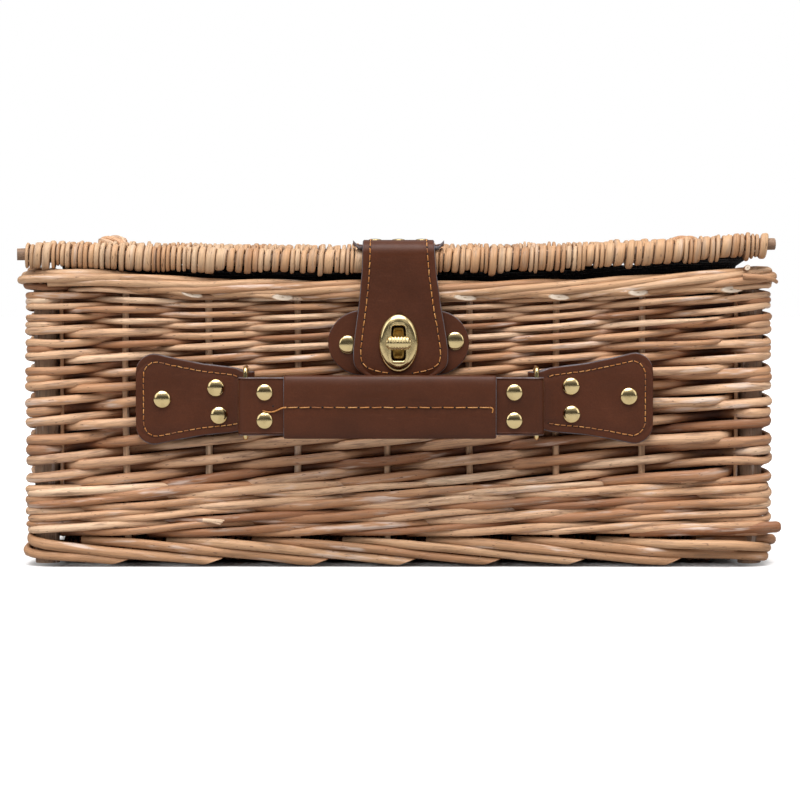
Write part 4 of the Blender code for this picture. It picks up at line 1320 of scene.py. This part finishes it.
seam = Stitches()
seam_y = grip_y - grip_deep + 0.0002
seam.line([(x, seam_y, grip_z) for x in np.linspace(low.x + 0.002, high.x - 0.0035, 60)],
          lambda p: FRONT, 0.0074, 0.00034)
tail = [(low.x + 0.002, seam_y, grip_z), (low.x - 0.0008, seam_y + 0.0006, grip_z - 0.0004),
        (low.x - 0.0045, seam_y + 0.0020, grip_z - 0.0022), (low.x - 0.0082, seam_y + 0.0020, grip_z - 0.0029),
        (low.x - 0.0122, seam_y - 0.0002, grip_z - 0.0020)]
seam.rods.add(curve_through(tail, 0.0008, 0.001), 0.00042, 0.00042, 0.7, sides=6)
hook = [(high.x - 0.0040, seam_y, grip_z), (high.x - 0.0026, seam_y - 0.0002, grip_z - 0.0004),
        (high.x - 0.0022, seam_y, grip_z - 0.0020), (high.x - 0.0026, seam_y + 0.0002, grip_z - 0.0032)]
seam.rods.add(curve_through(hook, 0.0006, 0.0008), 0.00042, 0.00042, 0.7, sides=6)
seam.holes.append((np.array((low.x - 0.0062, HANDLE_FACE, grip_z + 0.0006)), FRONT))
seam.piece("grip_stitching", "handle")


# ---------------------------------------------------------------- brass

def lathe(name, centre, axis, profile, material, body, stands_for, sides=40):
    """A turned piece: profile is rows of (radius, height) from its base to its crown, closed on the axis."""
    axis = unit(np.asarray(axis, float))
    first, second = square_to(axis, (0.31, 0.52, 0.79))
    c, s = circle(sides)
    verts = [np.asarray(centre) + axis * high + radius * (c[:, None] * first + s[:, None] * second)
             for radius, high in profile]
    piece(name, np.concatenate(verts), tube(len(profile), sides), [material], body, stands_for)


def dome(radius, high):
    """A rivet cap's profile: a short rolled rim and a low dome."""
    rows = [(radius * 0.93, -0.0006), (radius * 0.985, 0.0), (radius, high * 0.16), (radius * 0.99, high * 0.30)]
    rows += [(radius * 0.985 * math.cos(a), high * (0.30 + 0.70 * math.sin(a)))
             for a in np.radians(np.linspace(12, 88, 11))]
    return rows


def rivet(node, x, y, z, radius, high, body, axis=FRONT):
    lathe(node + "_cap", (x, y, z), axis, dome(radius, high), BRASS, body, (node,))


# How far each of the tabs' rivets sits right of and above its CAD node, as hand-set rivets do.
SET_OFF = {"left_outer": (0.0021, -0.0006), "left_upper": (0.0, -0.0010), "left_lower": (0.0019, -0.0010),
           "right_upper": (0.0027, 0.0), "right_lower": (0.0031, -0.0003), "right_outer": (0.0032, 0.0013)}
for side in ("left", "right"):
    for place in ("upper", "lower", "outer"):
        dx, dz = SET_OFF[f"{side}_{place}"]
        mid = cad(f"tab_rivet_{side}_{place}")[2]
        rivet(f"tab_rivet_{side}_{place}", mid.x + dx, TAB_FACE, mid.z + dz, 0.0054, 0.0026, "basket")
    for place in ("upper", "lower"):
        mid = cad(f"handle_rivet_{side}_{place}")[2]
        x = mid.x - {"left": 0.0006, "right": 0.0014}[side]
        rivet(f"handle_rivet_{side}_{place}", x, HANDLE_FACE, mid.z, 0.0051, 0.0023, "handle")
    x, z = {"left": (-0.0310, 0.1369), "right": (0.0345, 0.1391)}[side]
    rivet(f"patch_rivet_{side}", x, PATCH_FACE, z, 0.0056, 0.0019, "basket")
for place in ("left", "middle", "right"):
    mid = cad("lid_rivet_" + place)[2]
    rivet("lid_rivet_" + place, mid.x, mid.y, STRAP_TOP_Z + THICK / 2, 0.0040, 0.0010, "lid", (0, 0, 1))


def make_ring(side):
    """A rectangular ring of round brass wire, seen edge on from the front."""
    low, high, mid = cad("ring_" + side)
    radius, x = (high.x - low.x) / 2, mid.x
    corner = 0.0026
    inner_y, outer_y = high.y - radius, low.y + radius
    top, foot_z = high.z - radius, low.z + radius
    points = []
    for cy, cz, first in ((inner_y - corner, top - corner, 0), (outer_y + corner, top - corner, 90),
                          (outer_y + corner, foot_z + corner, 180), (inner_y - corner, foot_z + corner, 270)):
        points += [(x, cy + corner * math.cos(a), cz + corner * math.sin(a))
                   for a in np.radians(np.linspace(first, first + 90, 7))]
    start = (x, inner_y, RING_Z)
    path = np.array([start, (x, inner_y, RING_Z + 0.008), *points, (x, inner_y, RING_Z - 0.008), start])
    ring = Rods()
    ring.add(path, radius, radius, 0.5, up=(1, 0, 0), sides=16, rough=0.0)
    ring.piece("ring_" + side + "_wire", BRASS, side + "_ring", "brass", "ring_" + side)


make_ring("left")
make_ring("right")


def oval(half_x, half_z, sides, power=1.0):
    c, s = circle(sides)
    return np.column_stack([np.sign(c) * np.abs(c) ** power * half_x, np.sign(s) * np.abs(s) ** power * half_z])


def stacked(name, loops, centre, material, body, stands_for, closed=True, slots=None):
    """A solid through loops of (x, z) points, each with how far it stands out towards the front. An open one ends
    where it began, as a ring does."""
    verts = [(centre[0] + x, centre[1] - out, centre[2] + z) for points, out in loops for x, z in points]
    piece(name, verts, tube(len(loops), len(loops[0][0]), ends=closed), material, body, stands_for, slots)


# The turn lock: a domed oval plate with a slot on the strap, a base and a turn piece on the wall.
low, high, mid = cad("strap_plate")
lock = (mid.x, high.y, mid.z)
SIDES = 72
half_x, half_z = (high.x - low.x) / 2 * 1.05, (high.z - low.z) / 2
slot_x, slot_z = 0.00445, 0.01075
outer = [(1.0, 0.0), (1.0, 0.0004), (0.985, 0.0010), (0.95, 0.0017), (0.90, 0.0023), (0.84, 0.0027), (0.80, 0.0028)]
loops = [(oval(half_x * r, half_z * r, SIDES), out) for r, out in outer]
slot_shape = oval(slot_x, slot_z, SIDES, 0.30)
for t, out in ((0.35, 0.0029), (0.7, 0.0029)):
    loops.append((oval(half_x * 0.80, half_z * 0.80, SIDES) * (1 - t) + slot_shape * 1.18 * t, out))
loops += [(slot_shape * 1.16, 0.0029), (slot_shape * 1.11, 0.0032), (slot_shape * 1.03, 0.0032), (slot_shape, 0.0027),
          (slot_shape, 0.0)]
# The slot's inner wall takes the dark brass: partly painted shade of the recess.
stacked("strap_plate_oval", loops, lock, [BRASS, DARK_BRASS], "strap", ("strap_plate",), closed=False,
        slots=[1 if i >= SIDES * (len(loops) - 2) else 0 for i in range(SIDES * len(loops))])

# The base, seen through the slot, takes the dark brass too: partly painted shade of the recess.
loops = [(oval(0.0037 * r, 0.0100 * r, SIDES, 0.35), out) for r, out in
         ((1.0, 0.0), (1.0, 0.0036), (0.95, 0.0044), (0.84, 0.0046), (0.78, 0.0038), (0.5, 0.0038))]
stacked("lock_base_plate", loops, (0, PATCH_FACE, lock[2]), [DARK_BRASS], "basket", ("lock_base",))


def make_turn_piece():
    """A rounded bar with upright reeds, on a stem that reaches back through the slot to the base."""
    low, high, mid = cad("turn_piece")
    half, deep, tall = (high.x - low.x) / 2, 0.0020, (high.z - low.z) / 2
    middle_y = -0.1622
    stem_y = (PATCH_FACE - 0.003, middle_y + 0.0008)
    verts = []
    sides = 28
    c, s = circle(sides)
    xs = half * np.sin(np.radians(np.linspace(-89, 89, 75)))
    for x in xs:
        share = (1 - abs(x / half) ** 5) ** 0.5
        reed = 1 + 0.13 * math.cos(x / 0.00195 * 2 * math.pi)
        verts.extend((x, middle_y - deep * share * reed * a, lock[2] + tall * share * (1 + (reed - 1) * 0.6) * b)
                     for a, b in zip(c, s))
    faces = tube(len(xs), sides) + tube(2, sides, len(verts))
    for y in stem_y:
        verts.extend((0.0022 * a, y, lock[2] + 0.0022 * b) for a, b in zip(c, s))
    piece("turn_piece_bar", verts, faces, [BRASS], "turn_piece", ("turn_piece",))


make_turn_piece()


# ---------------------------------------------------------------- camera, floor and light

EYE_HEIGHT = 0.2005
DISTANCE = 1.9
WIDTH_IN_VIEW = 0.4888  # what the frame takes in at the front wall
TARGET_Z = 0.1029
scene = bpy.context.scene
front_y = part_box("wall_front")[0].y
camera = bpy.data.objects.new("Camera", bpy.data.cameras.new("Camera"))
scene.collection.objects.link(camera)
camera.data.sensor_width = 36
camera.data.lens = 36 * DISTANCE / WIDTH_IN_VIEW
camera.location = (0.0009, front_y - DISTANCE, EYE_HEIGHT)
camera.rotation_euler = (math.pi / 2 - math.atan((EYE_HEIGHT - TARGET_Z) / DISTANCE), 0, 0)
scene.camera = camera

floor_mesh = bpy.data.meshes.new("floor")
floor_mesh.from_pydata([(-6, -6, 0), (6, -6, 0), (6, 6, 0), (-6, 6, 0)], [], [(0, 1, 2, 3)])
floor = bpy.data.objects.new("floor", floor_mesh)
scene.collection.objects.link(floor)
paper = Shader("floor_paper")
seen = paper.node("ShaderNodeLightPath", {}, "Is Camera Ray")
UNDER_X, UNDER_Y = 0.222, 0.150  # half the size of the floor's painted shadow under the basket, where its glow is masked off
apart = paper.node("ShaderNodeMapping", {"Vector": paper.place(), "Location": (0, -MID_Y / UNDER_Y, 0),
                                         "Scale": (1 / UNDER_X, 1 / UNDER_Y, 1)})
away = paper.node("ShaderNodeVectorMath", {0: apart}, operation="ABSOLUTE")
split = paper.node("ShaderNodeSeparateXYZ", {0: away}, "X").node.outputs
# The floor glows evenly white to the camera, except under the basket: there the glow is masked off, a painted shadow.
lit = paper.ramp(paper.math("MAXIMUM", split["X"], split["Y"]), [(0.93, 0.0), (0.99, 1.0)])
glow = paper.math("MULTIPLY", paper.math("MULTIPLY", seen, lit), 0.22)
paper.set(Base_Color=paper.mix(seen, (0.45, 0.45, 0.45, 1), (0.92, 0.92, 0.92, 1)), Roughness=0.9,
          Specular_IOR_Level=0.1, Emission_Color=(1, 1, 1, 1), Emission_Strength=glow)
floor_mesh.materials.append(paper.material)


def area_light(name, place, target, size, energy):
    light = bpy.data.lights.new(name, "AREA")
    light.shape = "RECTANGLE"
    light.size, light.size_y = size
    light.energy = energy
    lamp = bpy.data.objects.new(name, light)
    lamp.location = place
    lamp.rotation_euler = (Vector(target) - Vector(place)).to_track_quat("-Z", "Y").to_euler()
    scene.collection.objects.link(lamp)


sun = bpy.data.lights.new("sky_panel", "SUN")
sun.energy = 1.95
sun.angle = math.radians(50)
lamp = bpy.data.objects.new("sky_panel", sun)
lamp.rotation_euler = (math.radians(34), 0, math.radians(-8))
scene.collection.objects.link(lamp)
area_light("overhead", (0.0, -0.8, 2.0), (0, 0, 0.1), (2.2, 1.2), 26)
area_light("left_fill", (-2.0, -1.6, 1.2), (0, 0, 0.1), (1.2, 1.6), 8)
area_light("right_fill", (2.1, -1.5, 1.1), (0, 0, 0.1), (1.2, 1.6), 7)

world = bpy.data.worlds.new("studio")
scene.world = world
world.use_nodes = True
world.node_tree.nodes.clear()
sky = Nodes(world.node_tree)
height = sky.node("ShaderNodeSeparateXYZ", {0: sky.node("ShaderNodeTexCoord", {}, "Generated")}, "Z")
dim = sky.node("ShaderNodeBackground", {"Color": sky.ramp(height, [(0.2, 0.08), (0.7, 0.95)]), "Strength": 0.9})
white = sky.node("ShaderNodeBackground", {"Color": (1, 1, 1, 1), "Strength": 1.0})
seen = sky.node("ShaderNodeLightPath", {}, "Is Camera Ray")
sky.node("ShaderNodeOutputWorld", {0: sky.node("ShaderNodeMixShader", {0: seen, 1: dim, 2: white})})
scene.view_settings.view_transform = "Standard"
